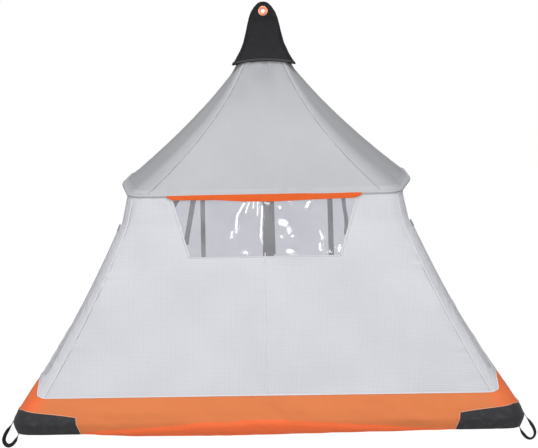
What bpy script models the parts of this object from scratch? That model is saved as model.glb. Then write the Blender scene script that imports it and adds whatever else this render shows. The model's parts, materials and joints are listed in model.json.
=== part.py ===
"""Double portaledge with its rainfly, hung free from the grommet at its apex.

The frame plane (centre line of the rails) is z = 0 while the pieces are built, and one empty
carries everything down so that the world origin is the centre of the hanging grommet.
+X runs along the bed, -Y is the front of the fly and +Y is the side that faces the wall.
"""
from math import asin, atan2, cos, pi, radians, sin, sqrt, tan

import bmesh
import bpy
from mathutils import Matrix, Vector

# Driving dimensions in metres
HANG_HEIGHT = 1.81          # grommet centre above the frame plane
FRAME_LENGTH = 2.172        # between the centre lines of the end rails
FRAME_DEPTH = 1.206         # between the centre lines of the long rails
TUBE_RADIUS = 0.016
TUBE_WALL = 0.0016
ELBOW_BEND = 0.075          # bend radius of the corner elbows
SPIGOT_LENGTH = 0.050
RAIL_JOINT_X = -0.10        # where each long rail comes apart
SPREADER_X = 0.075
SPREADER_RADIUS = 0.0125

BED_SLEEVE_WALL = 0.0018
BED_THICKNESS = 0.0020
BED_END_GAP = 0.060         # bare rail between the bed sleeve and the elbow
BED_CUTOUT = 0.040          # half-length of the bare rail round a middle strap

SLACK = 0.0003              # running and seating clearance between solids
FABRIC = 0.0008
SEAM_GAP = 0.0006
RIDGE_GAP = 0.0015

FLY_BEYOND_ENDS = 0.040     # outside of the fly from the end rails' centre lines
FLY_BEYOND_RAILS = 0.037    # and from the long rails'
BASE_HALF_LENGTH = FRAME_LENGTH / 2 + FLY_BEYOND_ENDS
BASE_HALF_DEPTH = FRAME_DEPTH / 2 + FLY_BEYOND_RAILS
BASE_CORNER = 0.090

BRIM_HEIGHT = 1.017         # brim above the frame plane at y = BRIM_TIP_Y
BRIM_TIP_Y = -0.05
BRIM_TILT = 0.088           # rise per metre towards the wall
BRIM_TIP_X = 0.672
BRIM_FRONT_X = 0.600
BRIM_FRONT_Y = -0.420
BRIM_WALL_X = 0.660
BRIM_WALL_Y = 0.295
BRIM_FRONT_CORNER = 0.085
BRIM_TIP_CORNER = 0.600
BRIM_WALL_CORNER = 0.060
RIDGE_X = 0.530             # where the canopy's front ridges meet the brim
BRIM_SEAM_X = 0.587         # lower front panel's top corner, on the brim
BRIM_SEAM_Y = -0.403
ZIP_TOP_X = 0.617
ZIP_TOP_Y = -0.345
WALL_SEAM_INSET = 0.018     # wall panel's top corner, in from the brim's corner
POLE_RADIUS = 0.00475
SLEEVE_WALL = 0.0010

SKIRT_KNEE = 0.13           # share of the skirt's drop where it turns from steep to sloping
KNEE_RUN = 0.055            # share of its run there
SKIRT_SLOPE = 0.89          # run per drop just below the knee, in shares
SKIRT_CURVE = 0.27          # how fast that grows, so that the seams bow inwards
SKIRT_FOOT = 0.94           # share of the drop where the band rounds over the rail
END_HOLLOW = 0.070          # how far the end panels hang in
HOLLOW_EDGE = 0.06          # share of the drop over which they fall in from the brim
WALL_WAIST = 0.050          # how far the wall panel's edges draw in below the brim
RIDGE_SAG = 0.51
WALL_SAG = 0.22
SIDE_FULLNESS = 1.2         # power by which the side panels fill out towards the brim's curve

BAND_TOP = 0.120            # grey and orange fabric meet here, above the frame plane
BAND_TOP_ENDS = 0.205       # the same on the end panels
BAND_CLIMB = (0.0, 0.10, 0.68, 0.94, 1.0)   # share of that rise at steps round a corner
BAND_GAP = 0.0009           # between the band's edge and the end panels' where it climbs
BAND_CREASE = 0.012
HEM_DROP = 0.038
HEM_TURN = -0.017           # where the hem has turned half-way in
HEM_INSET = 0.016
PATCH_REACH = 0.290         # along the band, each way from the corner
PATCH_TOP = 0.070
PATCH_TOP_END = 0.040
PATCH_FABRIC = 0.0010
PATCH_OUTSET = 0.0017        # patch's outer face off the band's

CAP_TOP = 0.043             # cap above the grommet centre
CAP_WALL = 0.0012
CAP_SIDES = ((0.000, 0.012), (0.006, 0.025), (0.022, 0.041), (0.048, 0.058), (0.076, 0.068),
             (0.130, 0.080), (0.184, 0.094), (0.238, 0.114), (0.266, 0.130), (0.292, 0.149))
CAP_CORNER = 0.030          # half-width above which the corners stop growing
CAP_ROUNDING = 0.9
CAP_TONGUE_HALF = 0.0065    # half-thickness of the flat tongue
CAP_TONGUE_END = 0.084      # tongue's flat stretch, down from the cap's top
CAP_HEM_HALF = 0.070
CAP_ARCH = 0.016            # rise of the hem between its corners
NECK_DROP = 0.250           # canopy's top edge below the cap's top
NECK_SIDE_INSET = 0.0105    # clear of the cap at the sides, where the canopy spreads faster
NECK_DEPTH_INSET = 0.0008
NECK_FRONT_CORNER = 0.082   # half-length of the canopy's top edge in front
NECK_WALL_CORNER = 0.092
NECK_CORNER = 0.045

GROMMET_BORE = 0.0090
GROMMET_BARREL = 0.0105
GROMMET_FLANGE = 0.0225
GROMMET_LIP = 0.0018

WINDOW_TOP = 0.962
WINDOW_BOTTOM = 0.713
WINDOW_TOP_HALF = 0.415
WINDOW_BOTTOM_HALF = 0.338
WINDOW_FILM = 0.0006
FLAP_HALF = 0.432
FLAP_TOP = 0.985            # its sewn edge, half-way up the brim's sleeve
FLAP_HEIGHT = 0.033
FLAP_CLOTH = 0.0012
FLAP_CLEARANCE = 0.0012

WEBBING = 0.025
WEBBING_THICKNESS = 0.0022
HUB_DROP = 0.150            # where the sewn legs part, below the grommet centre
TAB_WIDTH = 0.040
TAB_THICKNESS = 0.0050
STRAP_FROM_END = 0.106      # end straps, in from the end rails' centre lines
STRAP_X = FRAME_LENGTH / 2 - STRAP_FROM_END
BUCKLE_HEIGHT = 1.160
TAIL_LENGTH = 0.560
LOOP_WEBBING = 0.020
LOOP_THICKNESS = 0.0020
LOOP_FROM_CORNER = 0.004     # where the base's corner ends and the loop's edge begins

BUCKLE_WIDTH = 0.0352
BUCKLE_OPENING = 0.0282
BUCKLE_DEPTH = 0.0140
BUCKLE_LOW = -0.0200
BUCKLE_HIGH = 0.0270
BUCKLE_BAR = 0.0050
CAM_PIVOT_Y = 0.0046
CAM_RADIUS = 0.0060
CAM_PIN = 0.0020
LEVER_LENGTH = 0.0260
LEVER_REST = 28.0           # degrees that the lever stands off the strap

ZIP_WIDTH = 0.007
ZIP_THICKNESS = 0.0016
ZIP_LIFT = 0.0021
ZIP_FROM = 0.140            # shares of the seam, brim to frame plane
ZIP_TO = 0.780
SLIDER_AT = 0.160
SLIDER_LENGTH = 0.016
SLIDER_WIDTH = 0.0125
SLIDER_DEPTH = 0.0058

COLOURS = {
    "tube": ((0.55, 0.56, 0.58), 0.35, 0.9),
    "casting": ((0.30, 0.31, 0.33), 0.45, 0.9),
    "bed": ((0.10, 0.10, 0.11), 0.85, 0.0),
    "webbing": ((0.10, 0.10, 0.11), 0.80, 0.0),
    "fly_light": ((0.66, 0.66, 0.69), 0.60, 0.0),
    "fly_canopy": ((0.50, 0.50, 0.53), 0.60, 0.0),
    "fly_orange": ((0.80, 0.24, 0.08), 0.60, 0.0),
    "black_cloth": ((0.03, 0.03, 0.035), 0.75, 0.0),
    "copper": ((0.80, 0.35, 0.22), 0.30, 1.0),
    "film": ((0.80, 0.82, 0.84), 0.10, 0.0),
    "zip": ((0.25, 0.25, 0.27), 0.60, 0.0),
}

for stale in list(bpy.data.objects):
    bpy.data.objects.remove(stale, do_unlink=True)

part_collection = bpy.data.collections.new("portaledge")
tool_collection = bpy.data.collections.new("cutters")
bpy.context.scene.collection.children.link(part_collection)
bpy.context.scene.collection.children.link(tool_collection)
hang_point = bpy.data.objects.new("hang_point", None)
hang_point.location = (0, 0, -HANG_HEIGHT)
part_collection.objects.link(hang_point)


def make_material(name):
    """One Principled material from the colour table."""
    colour, roughness, metallic = COLOURS[name]
    material = bpy.data.materials.new(name)
    material.use_nodes = True
    shader = material.node_tree.nodes["Principled BSDF"]
    shader.inputs["Base Color"].default_value = (*colour, 1)
    shader.inputs["Roughness"].default_value = roughness
    shader.inputs["Metallic"].default_value = metallic
    return material


materials = {name: make_material(name) for name in COLOURS}


def add_object(name, data, material, parent=hang_point, tool=False):
    """Link an object; a tool is a hidden cutter or a solid that a Boolean takes in."""
    item = bpy.data.objects.new(name, data)
    item.parent = parent
    if tool:
        tool_collection.objects.link(item)
        item.hide_render = True
        item.display_type = "WIRE"
        return item
    part_collection.objects.link(item)
    if material:
        data.materials.clear()
        data.materials.append(materials[material])
    return item


def mesh_from(bm, name, smooth=None):
    """Turn a bmesh into a mesh, shaded smooth below the given angle in degrees."""
    mesh = bpy.data.meshes.new(name)
    bm.to_mesh(mesh)
    bm.free()
    if smooth:
        mesh.shade_smooth()
        mesh.set_sharp_from_angle(angle=radians(smooth))
    return mesh


def box_mesh(name, low, high, bevel=0.0):
    """A box between two corners with optional rounded edges."""
    bm = bmesh.new()
    bmesh.ops.create_cube(bm, size=1)
    for vert in bm.verts:
        vert.co = Vector((lo + (c + 0.5) * (hi - lo) for c, lo, hi in zip(vert.co, low, high)))
    if bevel:
        bmesh.ops.bevel(bm, geom=bm.edges[:], offset=bevel, segments=1, affect="EDGES")
    return mesh_from(bm, name)


def cylinder_mesh(name, radius, length, axis, sides=20):
    """A capped cylinder centred on the origin along an axis."""
    bm = bmesh.new()
    bmesh.ops.create_cone(bm, cap_ends=True, segments=sides, radius1=radius, radius2=radius, depth=length)
    turn = Vector((0, 0, 1)).rotation_difference(Vector(axis)).to_matrix()
    bmesh.ops.rotate(bm, verts=bm.verts, matrix=turn)
    return mesh_from(bm, name, 40)


def boolean(item, other, operation="DIFFERENCE"):
    """Cut or join one object with another through a modifier."""
    modifier = item.modifiers.new(operation.title(), "BOOLEAN")
    modifier.operation = operation
    modifier.object = other
    return modifier


def sheet(name, place, columns, rows, thickness, material, offset=-1.0, tool=False):
    """A grid laid over place(across, up) and given a thickness on its inner side."""
    bm = bmesh.new()
    bmesh.ops.create_grid(bm, x_segments=columns, y_segments=rows, size=1)
    for vert in bm.verts:
        vert.co = place((vert.co.x + 1) / 2, (vert.co.y + 1) / 2)
    item = add_object(name, mesh_from(bm, name, 35), material, tool=tool)
    solidify = item.modifiers.new("Thickness", "SOLIDIFY")
    solidify.thickness = thickness
    solidify.offset = offset
    return item


def ribbon(name, path, widths, width, thickness, material, tool=False):
    """Webbing: a strip along a path, whose width lies along the given directions."""
    count = len(path) - 1

    def place(across, up):
        step = round(up * count)
        return path[step] + widths[step] * ((across - 0.5) * width)

    return sheet(name, place, 1, count, thickness, material, 0.0, tool)


def tube(name, points, radius, material, resolution=2, radii=None):
    """A solid rod or cord along a polyline."""
    curve = bpy.data.curves.new(name, "CURVE")
    curve.dimensions = "3D"
    curve.bevel_depth = radius
    curve.bevel_resolution = resolution
    curve.use_fill_caps = True
    spline = curve.splines.new("POLY")
    spline.points.add(len(points) - 1)
    for index, point in enumerate(points):
        spline.points[index].co = (*point, 1)
        if radii:
            spline.points[index].radius = radii[index]
    return add_object(name, curve, material)


def turned(name, profile, axis, centre, material, steps=24, parent=hang_point):
    """A closed profile of (radius, height) pairs turned about an axis."""
    bm = bmesh.new()
    verts = [bm.verts.new((radius, 0, height)) for radius, height in profile]
    for index, vert in enumerate(verts):
        bm.edges.new((vert, verts[(index + 1) % len(verts)]))
    item = add_object(name, mesh_from(bm, name), material, parent)
    item.location = centre
    item.rotation_euler = Vector((0, 0, 1)).rotation_difference(Vector(axis)).to_euler()
    screw = item.modifiers.new("Turn", "SCREW")
    screw.steps = steps
    screw.render_steps = steps
    screw.use_merge_vertices = True
    screw.merge_threshold = 0.00001
    return item


def to_mesh_object(item):
    """Replace a curve object by its welded mesh under the same name."""
    bpy.context.view_layer.update()
    name = item.name
    evaluated = item.evaluated_get(bpy.context.evaluated_depsgraph_get())
    mesh = bpy.data.meshes.new_from_object(evaluated)
    bm = bmesh.new()
    bm.from_mesh(mesh)
    bmesh.ops.remove_doubles(bm, verts=bm.verts, dist=0.000005)
    bm.to_mesh(mesh)
    bm.free()
    matrix = item.matrix_world.copy()
    parent = item.parent
    bpy.data.objects.remove(item, do_unlink=True)
    solid = bpy.data.objects.new(name, mesh)
    part_collection.objects.link(solid)
    solid.parent = parent
    solid.matrix_world = matrix
    return solid


class Outline:
    """A closed counter-clockwise outline, measured by the distance along it."""

    def __init__(self, corners, corner_radii, arc_steps=8):
        self.points = []
        count = len(corners)
        for index in range(count):
            corner = Vector(corners[index])
            back = (Vector(corners[index - 1]) - corner).normalized()
            ahead = (Vector(corners[(index + 1) % count]) - corner).normalized()
            half = back.angle(ahead) / 2
            radius = corner_radii[index]
            middle = corner + (back + ahead).normalized() * (radius / sin(half))
            start = corner + back * (radius / tan(half)) - middle
            turn = pi - 2 * half
            begin = atan2(start.y, start.x)
            for step in range(arc_steps + 1):
                angle = begin + turn * step / arc_steps
                self.points.append(middle + Vector((cos(angle), sin(angle))) * radius)
        self.points.append(self.points[0].copy())
        self.distances = [0.0]
        for first, second in zip(self.points, self.points[1:]):
            self.distances.append(self.distances[-1] + (second - first).length)
        self.length = self.distances[-1]

    def at(self, distance):
        """The point a distance along the outline."""
        distance %= self.length
        for index in range(len(self.points) - 1):
            if distance <= self.distances[index + 1]:
                span = self.distances[index + 1] - self.distances[index]
                share = (distance - self.distances[index]) / span if span else 0.0
                return self.points[index].lerp(self.points[index + 1], share)
        return self.points[-1].copy()

    def locate(self, x, y):
        """The distance along the outline of its point nearest to (x, y)."""
        target = Vector((x, y))
        best = (1e9, 0.0)
        for index in range(len(self.points) - 1):
            first = self.points[index]
            along = self.points[index + 1] - first
            span = along.length
            if span < 1e-9:
                continue
            share = min(1.0, max(0.0, (target - first).dot(along) / span ** 2))
            best = min(best, ((first + along * share - target).length, self.distances[index] + share * span))
        return best[1]

    def outward(self, distance):
        """The outward direction at a distance along the outline."""
        tangent = (self.at(distance + 0.0005) - self.at(distance - 0.0005)).normalized()
        return Vector((tangent.y, -tangent.x))


class Stretch:
    """Part of an outline between marks, run through by a share from 0 to 1."""

    def __init__(self, outline, marks, shares=(0.0, 1.0)):
        self.outline = outline
        self.shares = shares
        self.places = [outline.locate(*marks[0])]
        for mark in marks[1:]:
            place = outline.locate(*mark)
            while place < self.places[-1]:
                place += outline.length
            self.places.append(place)

    def at(self, share):
        """The point at a share of the stretch."""
        for index in range(len(self.shares) - 1):
            if share <= self.shares[index + 1] or index == len(self.shares) - 2:
                low, high = self.shares[index], self.shares[index + 1]
                local = (share - low) / (high - low)
                return self.outline.at(self.places[index] + local * (self.places[index + 1] - self.places[index]))
        raise ValueError("the share is not a number")


def rectangle(half_x, half_y, radius, arc_steps=8):
    """A rounded rectangle about the origin."""
    corners = [(-half_x, -half_y), (half_x, -half_y), (half_x, half_y), (-half_x, half_y)]
    return Outline(corners, [radius] * 4, arc_steps)


def cap_half_width(drop):
    """Half-width of the cap a distance below its top."""
    for (low, start), (high, end) in zip(CAP_SIDES, CAP_SIDES[1:]):
        if drop <= high:
            return start + (end - start) * (drop - low) / (high - low)
    return CAP_SIDES[-1][1]


def cap_half_depth(drop):
    """Half-depth of the cap: flat tongue first, then it opens towards the hem."""
    share = max(0.0, (drop - CAP_TONGUE_END) / (CAP_SIDES[-1][0] - CAP_TONGUE_END))
    return CAP_TONGUE_HALF + (CAP_HEM_HALF - CAP_TONGUE_HALF) * share ** 1.3


def cap_outline(drop, inset=0.0, arc_steps=3):
    """The cap's section a distance below its top."""
    half_x = cap_half_width(drop) - inset
    half_y = cap_half_depth(drop) - inset
    return rectangle(half_x, half_y, CAP_ROUNDING * min(half_x, half_y, CAP_CORNER), arc_steps)


CAP_TOP_Z = HANG_HEIGHT + CAP_TOP
NECK_Z = CAP_TOP_Z - NECK_DROP
neck = rectangle(cap_half_width(NECK_DROP) - CAP_WALL - NECK_SIDE_INSET,
                 cap_half_depth(NECK_DROP) - CAP_WALL - NECK_DEPTH_INSET, NECK_CORNER, 6)
brim = Outline([(-BRIM_FRONT_X, BRIM_FRONT_Y), (BRIM_FRONT_X, BRIM_FRONT_Y), (BRIM_TIP_X, BRIM_TIP_Y),
                (BRIM_WALL_X, BRIM_WALL_Y), (-BRIM_WALL_X, BRIM_WALL_Y), (-BRIM_TIP_X, BRIM_TIP_Y)],
               [BRIM_FRONT_CORNER, BRIM_FRONT_CORNER, BRIM_TIP_CORNER,
                BRIM_WALL_CORNER, BRIM_WALL_CORNER, BRIM_TIP_CORNER], 6)
base = rectangle(BASE_HALF_LENGTH, BASE_HALF_DEPTH, BASE_CORNER)

BASE_SEAM_X = BASE_HALF_LENGTH - BASE_CORNER
ARC_MIDDLE = BASE_CORNER * (1 - sqrt(0.5))
BASE_FRONT_SEAM = (BASE_SEAM_X, -BASE_HALF_DEPTH)
BASE_ZIP = (BASE_HALF_LENGTH - ARC_MIDDLE, -BASE_HALF_DEPTH + ARC_MIDDLE)
BASE_WALL_SEAM = (BASE_SEAM_X, BASE_HALF_DEPTH)
BRIM_SEAM = (BRIM_SEAM_X, BRIM_SEAM_Y)
ZIP_TOP = (ZIP_TOP_X, ZIP_TOP_Y)
BRIM_WALL_SEAM = (BRIM_WALL_X - WALL_SEAM_INSET, BRIM_WALL_Y - WALL_SEAM_INSET)
ZIP_SHARE = 0.10


def mirror_x(mark):
    """The same mark on the left half."""
    return (-mark[0], mark[1])


def neck_mark(side, y_sign):
    """A corner of the canopy's top edge."""
    half = NECK_WALL_CORNER if y_sign > 0 else NECK_FRONT_CORNER
    return (side * half, y_sign * cap_half_depth(NECK_DROP))


skirt_stretches = {
    "front": (Stretch(brim, [mirror_x(BRIM_SEAM), BRIM_SEAM]),
              Stretch(base, [mirror_x(BASE_FRONT_SEAM), BASE_FRONT_SEAM])),
    "right": (Stretch(brim, [BRIM_SEAM, ZIP_TOP, BRIM_WALL_SEAM], (0, ZIP_SHARE, 1)),
              Stretch(base, [BASE_FRONT_SEAM, BASE_ZIP, BASE_WALL_SEAM], (0, ZIP_SHARE, 1))),
    "wall": (Stretch(brim, [BRIM_WALL_SEAM, mirror_x(BRIM_WALL_SEAM)]),
             Stretch(base, [BASE_WALL_SEAM, mirror_x(BASE_WALL_SEAM)])),
    "left": (Stretch(brim, [mirror_x(BRIM_WALL_SEAM), mirror_x(ZIP_TOP), mirror_x(BRIM_SEAM)],
                     (0, 1 - ZIP_SHARE, 1)),
             Stretch(base, [mirror_x(BASE_WALL_SEAM), mirror_x(BASE_ZIP), mirror_x(BASE_FRONT_SEAM)],
                     (0, 1 - ZIP_SHARE, 1))),
}
RIDGE_FOOT = (RIDGE_X, BRIM_FRONT_Y)
canopy_stretches = {
    "front": (Stretch(neck, [neck_mark(-1, -1), neck_mark(1, -1)]),
              Stretch(brim, [mirror_x(RIDGE_FOOT), RIDGE_FOOT]), RIDGE_SAG, RIDGE_SAG),
    "right": (Stretch(neck, [neck_mark(1, -1), neck_mark(1, 1)]),
              Stretch(brim, [RIDGE_FOOT, BRIM_WALL_SEAM]), RIDGE_SAG, WALL_SAG),
    "wall": (Stretch(neck, [neck_mark(1, 1), neck_mark(-1, 1)]),
             Stretch(brim, [BRIM_WALL_SEAM, mirror_x(BRIM_WALL_SEAM)]), WALL_SAG, WALL_SAG),
    "left": (Stretch(neck, [neck_mark(-1, 1), neck_mark(-1, -1)]),
             Stretch(brim, [mirror_x(BRIM_WALL_SEAM), mirror_x(RIDGE_FOOT)]), WALL_SAG, RIDGE_SAG),
}


def brim_z(y):
    """Height of the tilted brim plane."""
    return BRIM_HEIGHT + (y - BRIM_TIP_Y) * BRIM_TILT


def sagged(share, sag):
    """Share of the run after a share of the drop, for a seam that bows inwards."""
    return share - sag * share * (1 - share)


def skirt_run(down):
    """Share of the skirt's run after a share of its drop: steep, then sloping ever more."""
    if down < SKIRT_KNEE:
        return KNEE_RUN * down / SKIRT_KNEE
    if down < SKIRT_FOOT:
        past = down - SKIRT_KNEE
        return KNEE_RUN + past * (SKIRT_SLOPE + SKIRT_CURVE * past)
    foot = skirt_run(SKIRT_FOOT - 1e-9)
    return foot + (1 - foot) * (down - SKIRT_FOOT) / (1 - SKIRT_FOOT)


def skirt_point(panel, across, down):
    """Outer surface of the skirt; down is 0 at the brim and 1 at the frame plane."""
    top, bottom = skirt_stretches[panel]
    high = top.at(across)
    low = bottom.at(across)
    spot = high.lerp(low, skirt_run(down))
    fall = min(1.0, max(0.0, down / HOLLOW_EDGE)) * max(0.0, 1 - down)
    if panel in ("left", "right"):
        from_zip = across if panel == "right" else 1 - across
        inner = min(1.0, max(0.0, (from_zip - ZIP_SHARE) / (1 - ZIP_SHARE)))
        drawn = (END_HOLLOW * sin(pi * inner) + WALL_WAIST * inner * inner * (3 - 2 * inner)) * fall
        spot.x -= drawn if panel == "right" else -drawn
    if panel == "wall":
        spot.x -= WALL_WAIST * fall * (1 - 2 * across)
    return Vector((spot.x, spot.y, brim_z(high.y) * (1 - down)))


def skirt_at_height(panel, across, height):
    """Outer surface of the skirt at a height above the frame plane."""
    top = skirt_stretches[panel][0].at(across)
    return skirt_point(panel, across, 1 - height / brim_z(top.y))


def canopy_point(panel, across, down):
    """Outer surface of the upper canopy; down is 0 at its neck and 1 at the brim."""
    top, bottom, left_sag, right_sag = canopy_stretches[panel]
    left = top.at(0).lerp(bottom.at(0), sagged(down, left_sag))
    right = top.at(1).lerp(bottom.at(1), sagged(down, right_sag))
    chord = left.lerp(right, across)
    neck_bulge = top.at(across) - top.at(0).lerp(top.at(1), across)
    brim_bulge = bottom.at(across) - bottom.at(0).lerp(bottom.at(1), across)
    spot = chord + neck_bulge * (1 - down) ** 6 + brim_bulge * down ** SIDE_FULLNESS
    foot = bottom.at(across)
    return Vector((spot.x, spot.y, NECK_Z + (brim_z(foot.y) - NECK_Z) * down))


def eased(share):
    """Spread grid lines so that they crowd towards both ends."""
    return (1 - cos(pi * share)) / 2


def trimmed(share, left, right, gap):
    """A share that stops half a seam gap short of both ends of a row."""
    edge = gap / 2 / (right - left).length
    return edge + share * (1 - 2 * edge)


SLEEVE_INNER = POLE_RADIUS + SLACK
SLEEVE_OUTER = SLEEVE_INNER + SLEEVE_WALL
BRIM_EDGE = SLEEVE_OUTER + SLACK


def band_top(spot):
    """Height of the band's upper edge over a point of the base: it climbs round each corner."""
    turned = min(1.0, max(0.0, (abs(spot.x) - BASE_SEAM_X) / BASE_CORNER))
    steps = asin(turned) / (pi / 2) * (len(BAND_CLIMB) - 1)
    low = min(int(steps + 1e-6), len(BAND_CLIMB) - 2)
    climb = BAND_CLIMB[low] + (BAND_CLIMB[low + 1] - BAND_CLIMB[low]) * (steps - low)
    return BAND_TOP + (BAND_TOP_ENDS - BAND_TOP) * climb


def skirt_row(panel, up, share):
    """A point of a lower panel's row, from the band (up = 0) to the brim's sleeve (up = 1)."""
    top, bottom = skirt_stretches[panel]
    crest = brim_z(top.at(share).y) - BRIM_EDGE
    foot = band_top(bottom.at(share)) + BAND_GAP - SEAM_GAP / 2
    return skirt_at_height(panel, share, foot + (crest - foot) * up)


def arc_shares(panel):
    """Grid lines of an end panel: close together round the two base corners."""
    stretch = skirt_stretches[panel][1]
    start, end = stretch.places[0], stretch.places[-1]
    arc = BASE_CORNER * pi / 2
    near = [start + arc * step / 4 for step in range(5)]
    far = [end - arc * step / 4 for step in range(4, -1, -1)]
    middle = [near[-1] + (far[0] - near[-1]) * step / 4 for step in range(1, 4)]
    shares = [skirt_share(place)[1] for place in near + middle + far]
    shares[0] = 0.0
    shares[-1] = 1.0
    return shares


SKIRT_ROWS = (0, 0.145, 0.29, 0.435, 0.58, 0.72, 0.858, 0.935, 1)


def make_skirt_panel(panel):
    """A lower panel, from under the brim's sleeve to the orange band."""
    shares = [eased(step / 12) for step in range(13)] if panel == "front" else arc_shares(panel)

    def place(across, up):
        share = shares[round(across * (len(shares) - 1))]
        row = SKIRT_ROWS[round(up * (len(SKIRT_ROWS) - 1))]
        left, right = skirt_row(panel, row, 0), skirt_row(panel, row, 1)
        return skirt_row(panel, row, trimmed(share, left, right, SEAM_GAP))

    return sheet("lower_fly_" + panel, place, len(shares) - 1, len(SKIRT_ROWS) - 1, FABRIC, "fly_light")


def canopy_row(panel, down, gap, share):
    """A point of an upper panel's row, with half the ridge's gap left at each end."""
    left, right = canopy_point(panel, 0, down), canopy_point(panel, 1, down)
    return canopy_point(panel, trimmed(share, left, right, gap), down)


def make_canopy_panel(panel, columns, rows):
    """An upper panel, from the brim's sleeve up to its sewn edge inside the cap."""
    def place(across, up):
        share = eased(across)
        foot = brim_z(canopy_stretches[panel][1].at(share).y)
        last = 1 - BRIM_EDGE / (NECK_Z - foot)
        return canopy_row(panel, last * (1 - up), RIDGE_GAP, share)

    return sheet("upper_fly_" + panel, place, columns, rows, FABRIC, "fly_canopy")


def make_wall_panel(columns, rows):
    """The panel that faces the wall, one cloth from the cap down to the band."""
    half = rows // 2

    def place(across, up):
        step = round(up * rows)
        if step > half:
            return canopy_row("wall", 1 - (step - half) / half, RIDGE_GAP, eased(across))
        foot = BAND_TOP + SEAM_GAP / 2
        crest = brim_z(BRIM_WALL_Y)
        height = foot + (crest - foot) * step / half
        left, right = skirt_at_height("wall", 0, height), skirt_at_height("wall", 1, height)
        gap = SEAM_GAP + (RIDGE_GAP - SEAM_GAP) * step / half
        return skirt_at_height("wall", trimmed(eased(across), left, right, gap), height)

    return sheet("wall_panel", place, columns, rows, FABRIC, "fly_light")


PANELS = ("front", "right", "wall", "left")


def skirt_share(distance):
    """The panel and share that lie over a distance along the base outline."""
    for panel in PANELS:
        stretch = skirt_stretches[panel][1]
        along = (distance - stretch.places[0]) % base.length
        if along <= stretch.places[-1] - stretch.places[0]:
            for index in range(len(stretch.places) - 1):
                low = stretch.places[index] - stretch.places[0]
                high = stretch.places[index + 1] - stretch.places[0]
                if along <= high:
                    local = (along - low) / (high - low)
                    start, end = stretch.shares[index], stretch.shares[index + 1]
                    return panel, start + local * (end - start)
    return "front", 0.0


def band_point(distance, height, outset=0.0):
    """Outside of the band: it carries on the skirt's slope, then turns in under the rail."""
    panel, share = skirt_share(distance)
    spot = skirt_at_height(panel, share, max(height, BAND_CREASE))
    outward = base.outward(distance)
    under = max(0.0, BAND_CREASE - height) / (BAND_CREASE + HEM_DROP)
    move = outset - HEM_INSET * under ** 1.5
    return Vector((spot.x + outward.x * move, spot.y + outward.y * move, height))


def corner_distance(x_sign, y_sign):
    """Middle of a base corner, as a distance along the outline."""
    return base.locate(x_sign * BASE_ZIP[0], -y_sign * BASE_ZIP[1])


def corner_stops(middle):
    """Grid lines of a black corner patch: its two ends and the stops round the arc."""
    arc = BASE_CORNER * pi / 2
    round_corner = [middle - arc / 2 + arc * step / 4 for step in range(5)]
    legs = [middle - PATCH_REACH, middle - (PATCH_REACH + arc / 2) / 2]
    ends = [middle + (PATCH_REACH + arc / 2) / 2, middle + PATCH_REACH]
    return legs + round_corner + ends


def make_band():
    """The orange band all round the base, its lower edge turned in under the frame."""
    distances = []
    corners = [corner_distance(x_sign, y_sign) for x_sign, y_sign in ((-1, -1), (1, -1), (1, 1), (-1, 1))]
    for index, middle in enumerate(corners):
        stops = corner_stops(middle)
        after = corners[(index + 1) % 4] - PATCH_REACH
        while after < stops[-1]:
            after += base.length
        distances += stops + [stops[-1] + (after - stops[-1]) * step / 4 for step in range(1, 4)]
    distances = [distance % base.length for distance in distances]
    bm = bmesh.new()
    rings = [[bm.verts.new(band_point(distance, height)) for distance in distances]
             for height in (-HEM_DROP, HEM_TURN, BAND_CREASE)]
    rings.append([bm.verts.new(band_point(distance, band_top(base.at(distance)) - SEAM_GAP / 2))
                  for distance in distances])
    for lower, upper in zip(rings, rings[1:]):
        for index in range(len(lower)):
            after = (index + 1) % len(lower)
            bm.faces.new((lower[index], lower[after], upper[after], upper[index]))
    band = add_object("hem_band", mesh_from(bm, "hem_band", 35), "fly_orange")
    solidify = band.modifiers.new("Thickness", "SOLIDIFY")
    solidify.thickness = FABRIC
    solidify.offset = -1


def make_corner_patch(name, x_sign, y_sign):
    """The black reinforcement sewn over one corner of the band."""
    stops = corner_stops(corner_distance(x_sign, y_sign))

    def place(across, up):
        distance = stops[round(across * (len(stops) - 1))]
        top = PATCH_TOP + (PATCH_TOP_END - PATCH_TOP) * abs(2 * across - 1)
        heights = (-HEM_DROP, HEM_TURN, BAND_CREASE, top)
        return band_point(distance % base.length, heights[round(up * 3)], PATCH_OUTSET)

    sheet("corner_patch_" + name, place, len(stops) - 1, 3, PATCH_FABRIC, "black_cloth")


def make_tie_down_loop(name, x_sign, y_sign):
    """A webbing loop sewn to a corner patch outside and inside the hem, hanging out and down."""
    depth = BASE_HALF_DEPTH - BASE_CORNER - LOOP_FROM_CORNER - LOOP_WEBBING / 2
    skin = band_point(base.locate(x_sign * BASE_HALF_LENGTH, y_sign * depth), BAND_CREASE, PATCH_OUTSET)
    beside = LOOP_THICKNESS / 2 + SLACK
    inside = -PATCH_OUTSET - HEM_INSET - FABRIC - beside
    route = ((beside, BAND_CREASE), (beside + 0.004, 0.004), (0.016, -0.013), (0.031, -0.034), (0.045, -0.058),
             (0.051, -0.080), (0.044, -0.099), (0.029, -0.106), (0.012, -0.098), (-0.003, -0.080),
             (-0.013, -0.061), (inside + 0.001, -0.047), (inside, -HEM_DROP), (inside, -0.024))
    path = [Vector((skin.x + x_sign * spot.x, y_sign * depth, spot.y))
            for spot in smooth_route(route, 2)]
    width = Vector((0, 1, 0))
    ribbon("tie_down_loop_" + name, path, [width] * len(path), LOOP_WEBBING, LOOP_THICKNESS, "webbing")


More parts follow.
